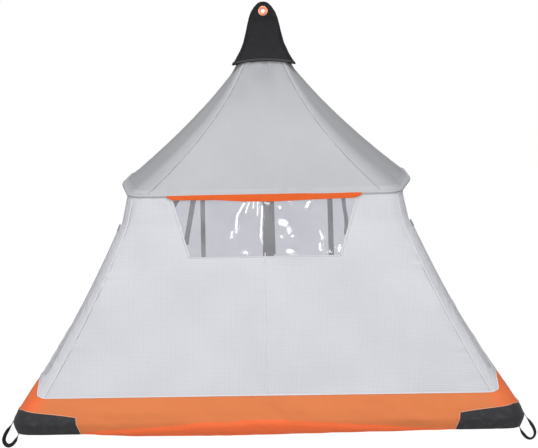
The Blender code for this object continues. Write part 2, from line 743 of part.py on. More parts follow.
def smooth_route(route, splits):
    """A smooth curve through hand-chosen points (Catmull-Rom)."""
    knots = [Vector(point) for point in route]
    ends = [knots[0] * 2 - knots[1], *knots, knots[-1] * 2 - knots[-2]]
    result = []
    for index in range(1, len(ends) - 2):
        before, first, second, after = ends[index - 1:index + 3]
        for step in range(splits):
            t = step / splits
            result.append(0.5 * (2 * first + (second - before) * t
                                 + (2 * before - 5 * first + 4 * second - after) * t ** 2
                                 + (3 * first - before - 3 * second + after) * t ** 3))
    result.append(knots[-1])
    return result


def make_cap():
    """The black reinforced nose with its flat tongue, open at the hem."""
    drops = [CAP_SIDES[-1][0], 0.266, 0.238, 0.184, 0.130, CAP_TONGUE_END, 0.048, 0.022, 0.006, 0.0]
    bm = bmesh.new()
    rings = []
    for drop in drops:
        outline = cap_outline(drop)
        ring = []
        for spot in outline.points[:-1]:
            height = CAP_TOP_Z - drop
            if drop == drops[0]:
                height += CAP_ARCH * (1 - min(1.0, abs(spot.x) / CAP_SIDES[-1][1]) ** 2)
            ring.append(bm.verts.new((spot.x, spot.y, height)))
        rings.append(ring)
    for lower, upper in zip(rings, rings[1:]):
        for index in range(len(lower)):
            after = (index + 1) % len(lower)
            bm.faces.new((lower[index], lower[after], upper[after], upper[index]))
    bm.faces.new(rings[-1])
    cap = add_object("apex_cap", mesh_from(bm, "apex_cap", 35), "black_cloth")
    solidify = cap.modifiers.new("Thickness", "SOLIDIFY")
    solidify.thickness = CAP_WALL
    solidify.offset = -1
    barrel = cylinder_mesh("grommet_hole", GROMMET_BARREL + SLACK, 0.05, (0, 1, 0), 24)
    drill = add_object("grommet_hole", barrel, None, tool=True)
    drill.location = (0, 0, HANG_HEIGHT)
    boolean(cap, drill)
    return drill


def make_grommet():
    """The copper eyelet that the whole ledge hangs from: a barrel with two rolled flanges."""
    face = CAP_TONGUE_HALF + SLACK
    lip = face + GROMMET_LIP
    round_in = GROMMET_BORE + 0.0006
    profile = [(round_in, lip), (GROMMET_FLANGE - 0.0015, lip), (GROMMET_FLANGE, face + 0.0006),
               (GROMMET_FLANGE, face), (GROMMET_BARREL, face), (GROMMET_BARREL, -face),
               (GROMMET_FLANGE, -face), (GROMMET_FLANGE, -face - 0.0006),
               (GROMMET_FLANGE - 0.0015, -lip), (round_in, -lip),
               (GROMMET_BORE, -lip + 0.0006), (GROMMET_BORE, lip - 0.0006)]
    turned("apex_grommet", profile, (0, -1, 0), (0, 0, HANG_HEIGHT), "copper", 28)


def make_brim():
    """The fibreglass pole in its C-shaped sleeve, from one wall corner round the front."""
    start = brim.locate(*mirror_x(BRIM_WALL_SEAM)) + 0.002
    end = brim.locate(*BRIM_WALL_SEAM) - 0.002
    if end < start:
        end += brim.length
    stops = [start]
    for lap in (0, brim.length):
        stops += [lap + d for d in brim.distances[:-1] if start + 0.004 < lap + d < end - 0.004]
    stops.append(end)
    sparse = [stops[0]]
    for stop in stops[1:-1]:
        if stop - sparse[-1] > 0.014:
            sparse.append(stop)
    sparse.append(stops[-1])
    points = []
    for stop in sparse:
        spot = brim.at(stop)
        points.append(Vector((spot.x, spot.y, brim_z(spot.y))))
    inner = [points[0].lerp(points[1], 0.1), *points[1:-1], points[-1].lerp(points[-2], 0.1)]
    tube("fly_pole", inner, POLE_RADIUS, "casting", 1)
    sleeve = tube("brim_sleeve", points, SLEEVE_INNER, "fly_light", 1)
    sleeve.data.use_fill_caps = False
    sleeve = to_mesh_object(sleeve)
    solidify = sleeve.modifiers.new("Thickness", "SOLIDIFY")
    solidify.thickness = SLEEVE_WALL
    solidify.offset = 1


def front_surface(x, height):
    """Outer surface of the front skirt panel at x, where the panel is straight across."""
    down = 1 - height / brim_z(BRIM_FRONT_Y)
    return BRIM_FRONT_Y + (-BASE_HALF_DEPTH - BRIM_FRONT_Y) * skirt_run(down)


def window_half(height):
    """Half-width of the window at a height."""
    share = (height - WINDOW_BOTTOM) / (WINDOW_TOP - WINDOW_BOTTOM)
    return WINDOW_BOTTOM_HALF + (WINDOW_TOP_HALF - WINDOW_BOTTOM_HALF) * share


def make_window(front_panel):
    """The clear pane, and the opening that it fills in the front panel."""
    bm = bmesh.new()
    for y in (-BASE_HALF_DEPTH, BRIM_FRONT_Y / 2):
        for height in (WINDOW_BOTTOM, WINDOW_TOP):
            for sign in (-1, 1):
                bm.verts.new((sign * window_half(height), y, height))
    bmesh.ops.convex_hull(bm, input=bm.verts)
    bmesh.ops.recalc_face_normals(bm, faces=bm.faces)
    opening = add_object("window_opening", mesh_from(bm, "window_opening"), None, tool=True)
    boolean(front_panel, opening)

    def place(across, up):
        low = WINDOW_BOTTOM + SEAM_GAP
        high = WINDOW_TOP - SEAM_GAP
        height = low + (high - low) * up
        half = window_half(height) - SEAM_GAP
        x = (2 * across - 1) * half
        return Vector((x, front_surface(x, height), height))

    sheet("window_pane", place, 6, 4, WINDOW_FILM, "film")


FLAP_HINGE_Y = BRIM_FRONT_Y - SLEEVE_INNER - SLEEVE_WALL - FLAP_CLEARANCE


def make_storm_flap():
    """The orange rain flap over the brim's sleeve and the window; its origin is on its sewn edge."""
    foot_y = front_surface(0, FLAP_TOP - FLAP_HEIGHT) - 2 * FLAP_CLEARANCE
    lean = (foot_y - FLAP_HINGE_Y) / FLAP_HEIGHT

    def place(across, up):
        side = 2 * across - 1
        taper = 1 - 0.72 * max(0.0, (abs(side) - 0.90) / 0.10)
        drop = (1 - up) * FLAP_HEIGHT * taper
        return Vector((side * FLAP_HALF, drop * lean, -drop))

    flap = sheet("storm_flap", place, 20, 2, FLAP_CLOTH, "fly_orange", 0.0)
    flap.location = (0, FLAP_HINGE_Y, FLAP_TOP)


def seam_arc(x_sign):
    """Centre, axis and radius of the circular arc that a corner zip follows."""
    panel = "right" if x_sign > 0 else "left"
    across = ZIP_SHARE if x_sign > 0 else 1 - ZIP_SHARE
    points = [skirt_point(panel, across, down) for down in (ZIP_FROM, (ZIP_FROM + ZIP_TO) / 2, ZIP_TO)]
    first = points[1] - points[0]
    second = points[2] - points[0]
    normal = first.cross(second)
    to_centre = (normal.cross(first) * second.length_squared + second.cross(normal) * first.length_squared)
    centre = points[0] + to_centre / (2 * normal.length_squared)
    return centre, normal.normalized(), (points[0] - centre).length, panel, across


def make_zip(name, x_sign):
    """The coil zip down a door's corner seam and its slider, which follows the seam's arc."""
    centre, axis, radius, panel, across = seam_arc(x_sign)
    spoke = skirt_point(panel, across, ZIP_FROM) - centre
    end_spoke = skirt_point(panel, across, ZIP_TO) - centre
    sweep = spoke.angle(end_spoke)
    lifted = (radius - ZIP_LIFT - ZIP_THICKNESS / 2) / radius
    steps = 16
    path = []
    for step in range(steps + 1):
        path.append(centre + (Matrix.Rotation(sweep * step / steps, 3, axis) @ spoke) * lifted)
    ribbon("zip_chain_" + name, path, [axis] * len(path), ZIP_WIDTH, ZIP_THICKNESS, "zip")

    full = skirt_point(panel, across, SLIDER_AT) - centre
    out = -full.normalized()
    along = axis.cross(full).normalized()
    body_level = radius - ZIP_LIFT - ZIP_THICKNESS - SLACK
    rotation = Matrix((axis, along, out)).transposed()
    low = (-SLIDER_WIDTH / 2, -SLIDER_LENGTH / 2, 0)
    high = (SLIDER_WIDTH / 2, SLIDER_LENGTH / 2, SLIDER_DEPTH - 0.0024)
    body = box_mesh("zip_slider_" + name, low, high, 0.0009)
    tab = box_mesh("slider_pull", (-0.003, -0.026, SLIDER_DEPTH - 0.0034), (0.003, 0.003, SLIDER_DEPTH - 0.0016),
                   0.0004)
    carrier = bpy.data.objects.new("zip_path_" + name, None)
    carrier.parent = hang_point
    carrier.location = centre
    part_collection.objects.link(carrier)
    slider = add_object("zip_slider_" + name, body, "casting", carrier)
    pull = add_object("slider_pull_" + name, tab, None, carrier, tool=True)
    for piece in (slider, pull):
        piece.location = full.normalized() * body_level
        piece.rotation_euler = rotation.to_euler()
    boolean(slider, pull, "UNION")


def make_rail(name, start_x, end_x, y, spigot):
    """Half of a long rail: a tube, with a reduced spigot on one half where they join."""
    inner = TUBE_RADIUS - TUBE_WALL
    length = end_x - start_x
    profile = [(TUBE_RADIUS, length), (TUBE_RADIUS, 0)]
    if spigot:
        plug = inner - SLACK
        bore = plug - TUBE_WALL
        profile = [(TUBE_RADIUS, length), (TUBE_RADIUS, 0), (plug, 0), (plug, -SPIGOT_LENGTH),
                   (bore, -SPIGOT_LENGTH), (bore, 0.004), (inner, 0.004), (inner, length)]
    else:
        profile += [(inner, 0), (inner, length)]
    turned(name, profile, (1, 0, 0), (start_x, y, 0), "tube")


def make_frame():
    """Rails, corner elbows with their spigots, and the spreader bar across the middle."""
    rail_end = FRAME_LENGTH / 2 - ELBOW_BEND
    for side, y in (("front", -FRAME_DEPTH / 2), ("wall", FRAME_DEPTH / 2)):
        make_rail(f"{side}_rail_left", -rail_end, RAIL_JOINT_X - SLACK, y, False)
        make_rail(f"{side}_rail_right", RAIL_JOINT_X, rail_end, y, True)
    end_half = FRAME_DEPTH / 2 - ELBOW_BEND
    inner = TUBE_RADIUS - TUBE_WALL
    for side, x in (("left", -FRAME_LENGTH / 2), ("right", FRAME_LENGTH / 2)):
        profile = [(TUBE_RADIUS, 2 * end_half), (TUBE_RADIUS, 0), (inner, 0), (inner, 2 * end_half)]
        turned(f"end_rail_{side}", profile, (0, 1, 0), (x, -end_half, 0), "tube")
    for y_sign, row in ((-1, "front"), (1, "wall")):
        for x_sign, side in ((-1, "left"), (1, "right")):
            make_elbow(f"corner_elbow_{row}_{side}", x_sign, y_sign)
    make_spreader()


def make_elbow(name, x_sign, y_sign):
    """A bent corner tube whose thin ends plug into the two rails."""
    middle = Vector((x_sign * (FRAME_LENGTH / 2 - ELBOW_BEND), y_sign * (FRAME_DEPTH / 2 - ELBOW_BEND), 0))
    bend_steps = 6
    plug = (TUBE_RADIUS - TUBE_WALL - SLACK) / TUBE_RADIUS
    ease_in = 0.03
    arc = []
    for step in range(bend_steps + 1):
        angle = ease_in + (pi / 2 - 2 * ease_in) * step / bend_steps
        arc.append(middle + Vector((x_sign * sin(angle), y_sign * cos(angle), 0)) * ELBOW_BEND)
    x_end = middle + Vector((0, y_sign * ELBOW_BEND, 0))
    y_end = middle + Vector((x_sign * ELBOW_BEND, 0, 0))
    x_way = Vector((-x_sign, 0, 0))
    y_way = Vector((0, -y_sign, 0))
    points = [x_end + x_way * SPIGOT_LENGTH, x_end - x_way * SLACK, x_end - x_way * (SLACK + 0.00004), *arc,
              y_end - y_way * (SLACK + 0.00004), y_end - y_way * SLACK, y_end + y_way * SPIGOT_LENGTH]
    radii = [plug, plug, 1.0] + [1.0] * len(arc) + [1.0, plug, plug]
    tube(name, points, TUBE_RADIUS, "casting", 2, radii)


def extruded(name, outlines, half_length, origin, material, parent=hang_point):
    """Outlines in the Y-Z plane, extruded both ways along X and welded."""
    curve = bpy.data.curves.new(name, "CURVE")
    curve.dimensions = "2D"
    curve.fill_mode = "BOTH"
    curve.extrude = half_length
    for outline in outlines:
        spline = curve.splines.new("POLY")
        spline.points.add(len(outline) - 1)
        for index, (y, z) in enumerate(outline):
            spline.points[index].co = (y, z, 0, 1)
        spline.use_cyclic_u = True
    item = add_object(name, curve, material, parent)
    item.location = origin
    item.rotation_euler = Matrix(((0, 0, 1), (1, 0, 0), (0, 1, 0))).to_euler()
    return to_mesh_object(item)


def arc_points(centre_y, centre_z, radius, start, end, steps):
    """Points of an arc in degrees, counter-clockwise when end is above start."""
    angles = [radians(start + (end - start) * step / steps) for step in range(steps + 1)]
    return [(centre_y + radius * cos(angle), centre_z + radius * sin(angle)) for angle in angles]


def make_spreader():
    """The bar across the middle, with a welded fork that hooks over each long rail."""
    reach = FRAME_DEPTH / 2
    cup_in = TUBE_RADIUS + SLACK
    cup_out = cup_in + 0.0035
    bar = add_object("spreader_bar", cylinder_mesh("spreader_bar", SPREADER_RADIUS, 2 * (reach - cup_in - 0.001),
                                                   (0, 1, 0), 20), "tube")
    bar.location = (SPREADER_X, 0, 0)
    for sign in (-1, 1):
        start = -100 if sign < 0 else 80
        outline = arc_points(sign * reach, 0, cup_out, start, start + 200, 14)
        outline += arc_points(sign * reach, 0, cup_in, start + 200, start, 14)
        cup = extruded(f"spreader_cup_{sign}", [outline], 0.020, (SPREADER_X, 0, 0), None)
        part_collection.objects.unlink(cup)
        tool_collection.objects.link(cup)
        cup.hide_render = True
        cup.display_type = "WIRE"
        boolean(bar, cup, "UNION")


SLEEVE_IN = TUBE_RADIUS + SLACK
SLEEVE_OUT = SLEEVE_IN + BED_SLEEVE_WALL
BED_TOP = SLEEVE_OUT
BED_HALF = FRAME_LENGTH / 2 - ELBOW_BEND - BED_END_GAP


def make_bed():
    """The bed: one cloth whose long edges are sleeves round the rails, cut away at the middle."""
    reach = FRAME_DEPTH / 2
    under = BED_TOP - BED_THICKNESS
    lip = 180 / pi * atan2(under, sqrt(SLEEVE_OUT ** 2 - under ** 2))
    outline = arc_points(-reach, 0, SLEEVE_OUT, 90, 360 + lip, 20)
    outline += arc_points(reach, 0, SLEEVE_OUT, -180 - lip, 90, 20)
    holes = [arc_points(sign * reach, 0, SLEEVE_IN, 0, 345, 23) for sign in (-1, 1)]
    bed = extruded("bed_fabric", [outline, *holes], BED_HALF, (0, 0, 0), "bed")
    cut_from = -BED_CUTOUT
    cut_to = SPREADER_X + BED_CUTOUT
    for sign in (-1, 1):
        inner = sign * (reach - 0.050)
        outer = sign * (reach + 0.040)
        notch = box_mesh("bed_notch", (cut_from, min(inner, outer), -0.05), (cut_to, max(inner, outer), 0.05))
        boolean(bed, add_object(f"bed_notch_{sign}", notch, None, tool=True))
    for sign, side in ((-1, "left"), (1, "right")):
        make_end_sleeve(side, sign)


def make_end_sleeve(side, sign):
    """A sleeve round an end rail, sewn edge to edge with the bed."""
    under = BED_TOP - BED_THICKNESS
    lip = 180 / pi * atan2(under, sqrt(SLEEVE_OUT ** 2 - under ** 2))
    centre = FRAME_LENGTH / 2
    outline = [(BED_HALF + SEAM_GAP, under)] + arc_points(centre, 0, SLEEVE_OUT, -180 - lip, 90, 20)
    outline.append((BED_HALF + SEAM_GAP, BED_TOP))
    hole = arc_points(centre, 0, SLEEVE_IN, 0, 345, 23)
    length = FRAME_DEPTH / 2 - ELBOW_BEND - 0.012
    sleeve = extruded("bed_end_sleeve_" + side, [outline, hole], length, (0, 0, 0), "bed")
    turn = -pi / 2 if sign > 0 else pi / 2
    sleeve.matrix_world = Matrix.Translation((0, 0, -HANG_HEIGHT)) @ Matrix.Rotation(turn, 4, "Z") @ (
        Matrix(((0, 0, 1, 0), (1, 0, 0, 0), (0, 1, 0, 0), (0, 0, 0, 1))))


def buckle_places():
    """Name, rail anchor and hanging direction of each of the six straps."""
    reach = FRAME_DEPTH / 2
    places = []
    for y_sign, row in ((-1, "front"), (1, "wall")):
        for x, side in ((-STRAP_X, "left"), (0.0, "middle"), (STRAP_X, "right")):
            places.append((f"{row}_{side}", Vector((x, y_sign * reach, 0))))
    return places


HUB = Vector((0, 0, HANG_HEIGHT - HUB_DROP))


def buckle_frame_axes(anchor):
    """Axes of a buckle: across the webbing, towards the inside of the ledge, and up the strap."""
    up = (HUB - anchor).normalized()
    across = (Vector((1, 0, 0)) - up * up.x).normalized()
    inward = up.cross(across)
    if inward.y * anchor.y > 0:
        across = -across
        inward = -inward
    origin = anchor + up * (BUCKLE_HEIGHT / up.z)
    return origin, across, inward, up


def make_buckle_mesh():
    """The cam buckle's frame: two side plates, a back plate and the bar for the sewn loop."""
    half = BUCKLE_WIDTH / 2
    gap = BUCKLE_OPENING / 2
    back = 0.0024
    body = add_object("buckle_body", box_mesh("buckle_body", (-half, -BUCKLE_DEPTH / 2, BUCKLE_LOW),
                                              (half, BUCKLE_DEPTH / 2, BUCKLE_HIGH), 0.0012), None, None, True)
    cuts = [((-gap, -BUCKLE_DEPTH / 2 + back, BUCKLE_LOW - 0.01), (gap, 0.03, BUCKLE_HIGH - BUCKLE_BAR)),
            ((-gap, -0.03, 0.008), (gap, 0.03, BUCKLE_HIGH - BUCKLE_BAR)),
            ((-gap, BUCKLE_BAR / 2, BUCKLE_HIGH - BUCKLE_BAR - 0.001), (gap, 0.03, BUCKLE_HIGH + 0.01)),
            ((-gap, -0.03, BUCKLE_HIGH - BUCKLE_BAR - 0.001), (gap, -BUCKLE_BAR / 2, BUCKLE_HIGH + 0.01))]
    for index, (low, high) in enumerate(cuts):
        boolean(body, add_object(f"buckle_cut_{index}", box_mesh("buckle_cut", low, high), None, None, True))
    drill = add_object("buckle_drill", cylinder_mesh("buckle_drill", CAM_PIN + SLACK, 0.06, (1, 0, 0), 12),
                       None, None, True)
    drill.location = (0, CAM_PIVOT_Y, 0)
    boolean(body, drill)
    return evaluated_mesh(body, "buckle_frame", "casting")


def make_lever_mesh():
    """The cam with its pin and thumb lever; the mesh's origin is on the pin's axis."""
    cam = add_object("cam_body", cylinder_mesh("cam_body", CAM_RADIUS, BUCKLE_OPENING - 0.001, (1, 0, 0), 16),
                     None, None, True)
    pin = add_object("cam_pin", cylinder_mesh("cam_pin", CAM_PIN, BUCKLE_WIDTH - 0.0004, (1, 0, 0), 12),
                     None, None, True)
    thumb = box_mesh("cam_thumb", (-0.0115, -0.0012, -LEVER_LENGTH), (0.0115, 0.0012, 0.0), 0.0006)
    handle = add_object("cam_thumb", thumb, None, None, True)
    handle.location = (0, 0.0035 * cos(radians(LEVER_REST)), 0.0035 * sin(radians(LEVER_REST)))
    handle.rotation_euler = (radians(LEVER_REST), 0, 0)
    boolean(cam, pin, "UNION")
    boolean(cam, handle, "UNION")
    return evaluated_mesh(cam, "buckle_lever", "tube")


def evaluated_mesh(item, name, material):
    """The finished mesh of an object with modifiers, for copies that share it."""
    bpy.context.view_layer.update()
    evaluated = item.evaluated_get(bpy.context.evaluated_depsgraph_get())
    mesh = bpy.data.meshes.new_from_object(evaluated)
    mesh.name = name
    mesh.materials.clear()
    mesh.materials.append(materials[material])
    return mesh


def strap_path(anchor, origin, across, inward, up):
    """Centre line and width directions: round the rail, up through the cam, tail hanging."""
    along_rail = Vector((1, 0, 0)) if across.x > 0 else Vector((-1, 0, 0))
    rise = Vector((0, up.y, up.z)).normalized()
    side = Vector((0, inward.y, inward.z))
    side = (side - rise * side.dot(rise)).normalized()
    wrap = TUBE_RADIUS + SLACK + WEBBING_THICKNESS / 2
    apart = WEBBING_THICKNESS / 2 + 0.0002
    path = [anchor + rise * 0.062 - side * apart, anchor + rise * 0.040 - side * apart]
    for step in range(15):
        angle = radians(140 + 260 * step / 14)
        path.append(anchor + (side * cos(angle) + rise * sin(angle)) * wrap)
    path += [anchor + rise * 0.040 + side * apart, anchor + rise * 0.062 + side * apart]
    widths = [along_rail] * len(path)
    local = ((-0.0030, -0.050), (-0.0030, -0.020), (-0.0030, 0.0060), (-0.0022, 0.0115), (0.0008, 0.0152),
             (0.0052, 0.0166), (0.0100, 0.0158), (0.0142, 0.0128))
    for away, rise_up in local:
        path.append(origin + inward * away + up * rise_up)
        widths.append(across)
    last = path[-1]
    flat = Vector((inward.x, inward.y, 0)).normalized()
    level = Vector((-flat.y, flat.x, 0))
    if level.dot(across) < 0:
        level = -level
    for away, drop in ((0.0020, 0.010), (0.0028, 0.040), (0.0030, TAIL_LENGTH * 0.5), (0.0030, TAIL_LENGTH)):
        path.append(last + flat * away - Vector((0, 0, drop)))
        widths.append(across if drop < 0.02 else level)
    return path, widths


def make_suspension():
    """The sewn head with six legs, and a buckle, a lever and a strap below each leg."""
    frame_mesh = make_buckle_mesh()
    lever_mesh = make_lever_mesh()
    tab_top = HANG_HEIGHT + 0.030
    tab = box_mesh("suspension_head", (-TAB_WIDTH / 2, -TAB_THICKNESS / 2, HUB.z - 0.012),
                   (TAB_WIDTH / 2, TAB_THICKNESS / 2, tab_top), 0.0008)
    head = add_object("suspension_head", tab, "webbing")
    for name, anchor in buckle_places():
        origin, across, inward, up = buckle_frame_axes(anchor)
        turn = Matrix((across, inward, up)).transposed()
        frame = add_object("buckle_frame_" + name, frame_mesh, None)
        frame.location = origin
        frame.rotation_euler = turn.to_euler()
        lever = add_object("buckle_lever_" + name, lever_mesh, None)
        lever.location = origin + inward * CAM_PIVOT_Y
        lever.rotation_euler = turn.to_euler()
        path, widths = strap_path(anchor, origin, across, inward, up)
        ribbon("strap_" + name, path, widths, WEBBING, WEBBING_THICKNESS, "webbing")
        bar = origin + up * (BUCKLE_HIGH - BUCKLE_BAR / 2)
        apart = WEBBING_THICKNESS / 2 + 0.0002
        wrap = BUCKLE_BAR / sqrt(2) + SLACK + WEBBING_THICKNESS / 2
        leg = [HUB + up * 0.004 - inward * 0.0004, bar + up * 0.050 - inward * apart,
               bar + up * 0.012 - inward * apart]
        round_bar = [radians(165 + 210 * step / 8) for step in range(9)]
        leg += [bar + (inward * cos(angle) + up * sin(angle)) * wrap for angle in round_bar]
        leg += [bar + up * 0.012 + inward * apart, bar + up * 0.034 + inward * apart]
        piece = ribbon("leg_" + name, leg, [across] * len(leg), WEBBING - 0.001, WEBBING_THICKNESS, None, True)
        boolean(head, piece, "UNION")
    return head


make_frame()
make_bed()
suspension_head = make_suspension()
lower_front = make_skirt_panel("front")
make_window(lower_front)
for panel_name in ("left", "right"):
    make_skirt_panel(panel_name)
for panel_name in ("front", "left", "right"):
    make_canopy_panel(panel_name, 10, 8)
make_wall_panel(10, 12)
make_band()
make_brim()
make_storm_flap()
grommet_drill = make_cap()
boolean(suspension_head, grommet_drill)
make_grommet()
for row_sign, row_name in ((-1, "front"), (1, "wall")):
    for end_sign, end_name in ((-1, "left"), (1, "right")):
        make_corner_patch(f"{row_name}_{end_name}", end_sign, row_sign)
        make_tie_down_loop(f"{row_name}_{end_name}", end_sign, row_sign)
make_zip("left", -1)
make_zip("right", 1)
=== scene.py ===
"""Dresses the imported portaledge: a hanging bed for two under its rainfly, hung from one eyelet.

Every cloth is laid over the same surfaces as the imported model, measured up from the rails'
plane, and then brought down so that the eyelet's centre is the origin.
"""

import json
import logging
import math
from contextlib import contextmanager
from dataclasses import dataclass, field
from enum import Enum
from typing import Iterator, Optional, Sequence

import bpy
import numpy as np
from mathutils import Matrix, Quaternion, Vector

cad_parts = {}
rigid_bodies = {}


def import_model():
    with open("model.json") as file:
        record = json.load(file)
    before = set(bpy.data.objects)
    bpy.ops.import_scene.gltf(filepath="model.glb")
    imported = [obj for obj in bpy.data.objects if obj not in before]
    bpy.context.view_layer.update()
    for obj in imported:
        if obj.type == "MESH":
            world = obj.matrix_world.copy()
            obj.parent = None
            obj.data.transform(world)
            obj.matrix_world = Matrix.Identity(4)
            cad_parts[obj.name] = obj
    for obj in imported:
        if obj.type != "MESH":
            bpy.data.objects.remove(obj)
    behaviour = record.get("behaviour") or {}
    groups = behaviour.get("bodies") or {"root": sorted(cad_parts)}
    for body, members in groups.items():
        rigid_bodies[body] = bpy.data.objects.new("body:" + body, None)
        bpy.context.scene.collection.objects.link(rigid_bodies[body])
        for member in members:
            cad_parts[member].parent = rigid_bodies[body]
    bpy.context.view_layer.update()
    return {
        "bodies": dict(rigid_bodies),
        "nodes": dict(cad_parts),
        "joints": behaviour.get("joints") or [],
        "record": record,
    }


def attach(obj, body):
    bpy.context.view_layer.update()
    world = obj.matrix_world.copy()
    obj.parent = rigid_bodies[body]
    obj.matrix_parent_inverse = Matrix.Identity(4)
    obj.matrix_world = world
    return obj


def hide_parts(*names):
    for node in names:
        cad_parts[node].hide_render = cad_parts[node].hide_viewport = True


Socket = bpy.types.NodeSocket
LOG = logging.getLogger("portaledge")
ROOT = "ledge"
EVEN = (1.0, 1.0, 1.0)
SPREAD = np.array([1.0, 0.0, 0.0])
BACK = np.array([0.0, 1.0, 0.0])
UP = np.array([0.0, 0.0, 1.0])
# Height of the eyelet's centre above the rails' plane.
HANG = 1.81
# How far a cloth stops short of the line that it is sewn along.
SEWN = 0.0006
# How far above and below the brim's middle the cloths end, round the pole.
BRIM_GAP = 0.0066


class Held(Enum):
    """How a cloth is held."""

    STRETCHED = "stretched"
    HUNG = "hung"


class Edge(Enum):
    """An edge of the ledge, whose value is its direction."""

    @property
    def word(self) -> str:
        """The edge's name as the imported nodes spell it."""
        return self.name.lower()


class Side(Edge):
    """The two ends of the ledge."""

    LEFT = -1
    RIGHT = 1


class Row(Edge):
    """The two long edges of the ledge."""

    FRONT = -1
    WALL = 1


def soft_noise(a: np.ndarray, b: np.ndarray, seed: int) -> np.ndarray:
    """Smooth noise over two coordinates.

    Args:
        a: First coordinate, one noise cell per unit.
        b: Second coordinate.
        seed: Picks the pattern.

    Returns:
        Values from -1 to 1.
    """
    table = np.random.default_rng(seed).uniform(-1, 1, (64, 64))
    low_a, low_b = np.floor(a).astype(int), np.floor(b).astype(int)
    part_a, part_b = a - low_a, b - low_b
    part_a = part_a * part_a * (3 - 2 * part_a)
    part_b = part_b * part_b * (3 - 2 * part_b)

    def corner(step_a: int, step_b: int) -> np.ndarray:
        """The table's value at one corner of each cell."""
        return table[(low_a + step_a) % 64, (low_b + step_b) % 64]

    near = corner(0, 0) * (1 - part_a) + corner(1, 0) * part_a
    far = corner(0, 1) * (1 - part_a) + corner(1, 1) * part_a
    return near * (1 - part_b) + far * part_b


def smooth_step(value: np.ndarray, low: float, high: float) -> np.ndarray:
    """Zero below low, one above high and smooth between."""
    share = np.clip((value - low) / (high - low), 0, 1)
    return share * share * (3 - 2 * share)


def fade(value: np.ndarray, low: float, high: float) -> np.ndarray:
    """One below low, zero above high and smooth between."""
    return 1 - smooth_step(value, low, high)


def unit(vectors: np.ndarray) -> np.ndarray:
    """Vectors at length one, last axis x, y and z."""
    return vectors / np.maximum(np.linalg.norm(vectors, axis=-1, keepdims=True), 1e-12)


def spread(*axes: object) -> np.ndarray:
    """Points from values or arrays of x, y and z that fit one another."""
    return np.stack(np.broadcast_arrays(*axes), axis=-1).astype(float)


def with_z(flat: np.ndarray, height: object) -> np.ndarray:
    """Points from their x and y and a height."""
    return spread(flat[..., 0], flat[..., 1], height)


def running(points: np.ndarray) -> np.ndarray:
    """The distance along each row of points, from its start."""
    steps = np.linalg.norm(np.diff(points, axis=-2), axis=-1)
    return np.concatenate([np.zeros(steps.shape[:-1] + (1,)), np.cumsum(steps, axis=-1)], axis=-1)


def grid_normals(points: np.ndarray) -> np.ndarray:
    """Unit normals of a grid of points, rows by columns."""
    return unit(np.cross(np.gradient(points, axis=1), np.gradient(points, axis=0)))


def box(half_x: float, half_y: float) -> list:
    """The corners of a rectangle round the origin, counter-clockwise."""
    return [(-half_x, -half_y), (half_x, -half_y), (half_x, half_y), (-half_x, half_y)]


def smooth_route(knots: Sequence[Sequence[float]], count: int) -> np.ndarray:
    """A smooth curve through chosen points.

    Args:
        knots: The points, in order.
        count: How many points to return.

    Returns:
        Points evenly spaced along the curve.
    """
    knots = np.array(knots, float)
    ends = np.vstack([2 * knots[0] - knots[1], knots, 2 * knots[-1] - knots[-2]])
    fine = []
    for index in range(1, len(ends) - 2):
        before, first, second, after = ends[index - 1:index + 3]
        for t in np.linspace(0, 1, 12, endpoint=False):
            fine.append(0.5 * (2 * first + (second - before) * t
                               + (2 * before - 5 * first + 4 * second - after) * t ** 2
                               + (3 * first - before - 3 * second + after) * t ** 3))
    fine = np.array(fine + [knots[-1]])
    run = running(fine)
    stops = np.linspace(0, run[-1], count)
    return np.stack([np.interp(stops, run, values) for values in fine.T], axis=1)


class Outline:
    """A closed counter-clockwise outline, measured by the distance along it."""

    def __init__(self, corners: Sequence[tuple], radii: Sequence[float],
                 arc_steps: int = 36) -> None:
        """Rounds each corner.

        Args:
            corners: The corners before rounding.
            radii: Each corner's radius.
            arc_steps: Steps round each corner.
        """
        points = []
        count = len(corners)
        for index in range(count):
            corner = Vector(corners[index])
            back = (Vector(corners[index - 1]) - corner).normalized()
            ahead = (Vector(corners[(index + 1) % count]) - corner).normalized()
            half = back.angle(ahead) / 2
            radius = radii[index]
            middle = corner + (back + ahead).normalized() * (radius / math.sin(half))
            start = corner + back * (radius / math.tan(half)) - middle
            begin = math.atan2(start.y, start.x)
            for step in range(arc_steps + 1):
                angle = begin + (math.pi - 2 * half) * step / arc_steps
                points.append((middle.x + radius * math.cos(angle),
                               middle.y + radius * math.sin(angle)))
        self.points = np.array(points + [points[0]])
        self.distances = running(self.points)
        self.length = float(self.distances[-1])

    def at(self, distance: np.ndarray) -> np.ndarray:
        """Points at distances along the outline, last axis x and y."""
        distance = np.asarray(distance, float) % self.length
        return np.stack([np.interp(distance, self.distances, values) for values in self.points.T],
                        axis=-1)

    def locate(self, x: float, y: float) -> float:
        """The distance along the outline of its point nearest to (x, y)."""
        first = self.points[:-1]
        along = np.diff(self.points, axis=0)
        span = np.maximum((along ** 2).sum(axis=1), 1e-18)
        share = np.clip(((np.array([x, y]) - first) * along).sum(axis=1) / span, 0, 1)
        gap = np.linalg.norm(first + along * share[:, None] - np.array([x, y]), axis=1)
        best = int(np.argmin(gap))
        return float(self.distances[best] + share[best] * math.sqrt(span[best]))

    def outward(self, distance: np.ndarray) -> np.ndarray:
        """Outward unit directions at distances along the outline."""
        beside = 0.002
        tangent = unit(self.at(np.asarray(distance) + beside) - self.at(np.asarray(distance) - beside))
        return np.stack([tangent[..., 1], -tangent[..., 0]], axis=-1)


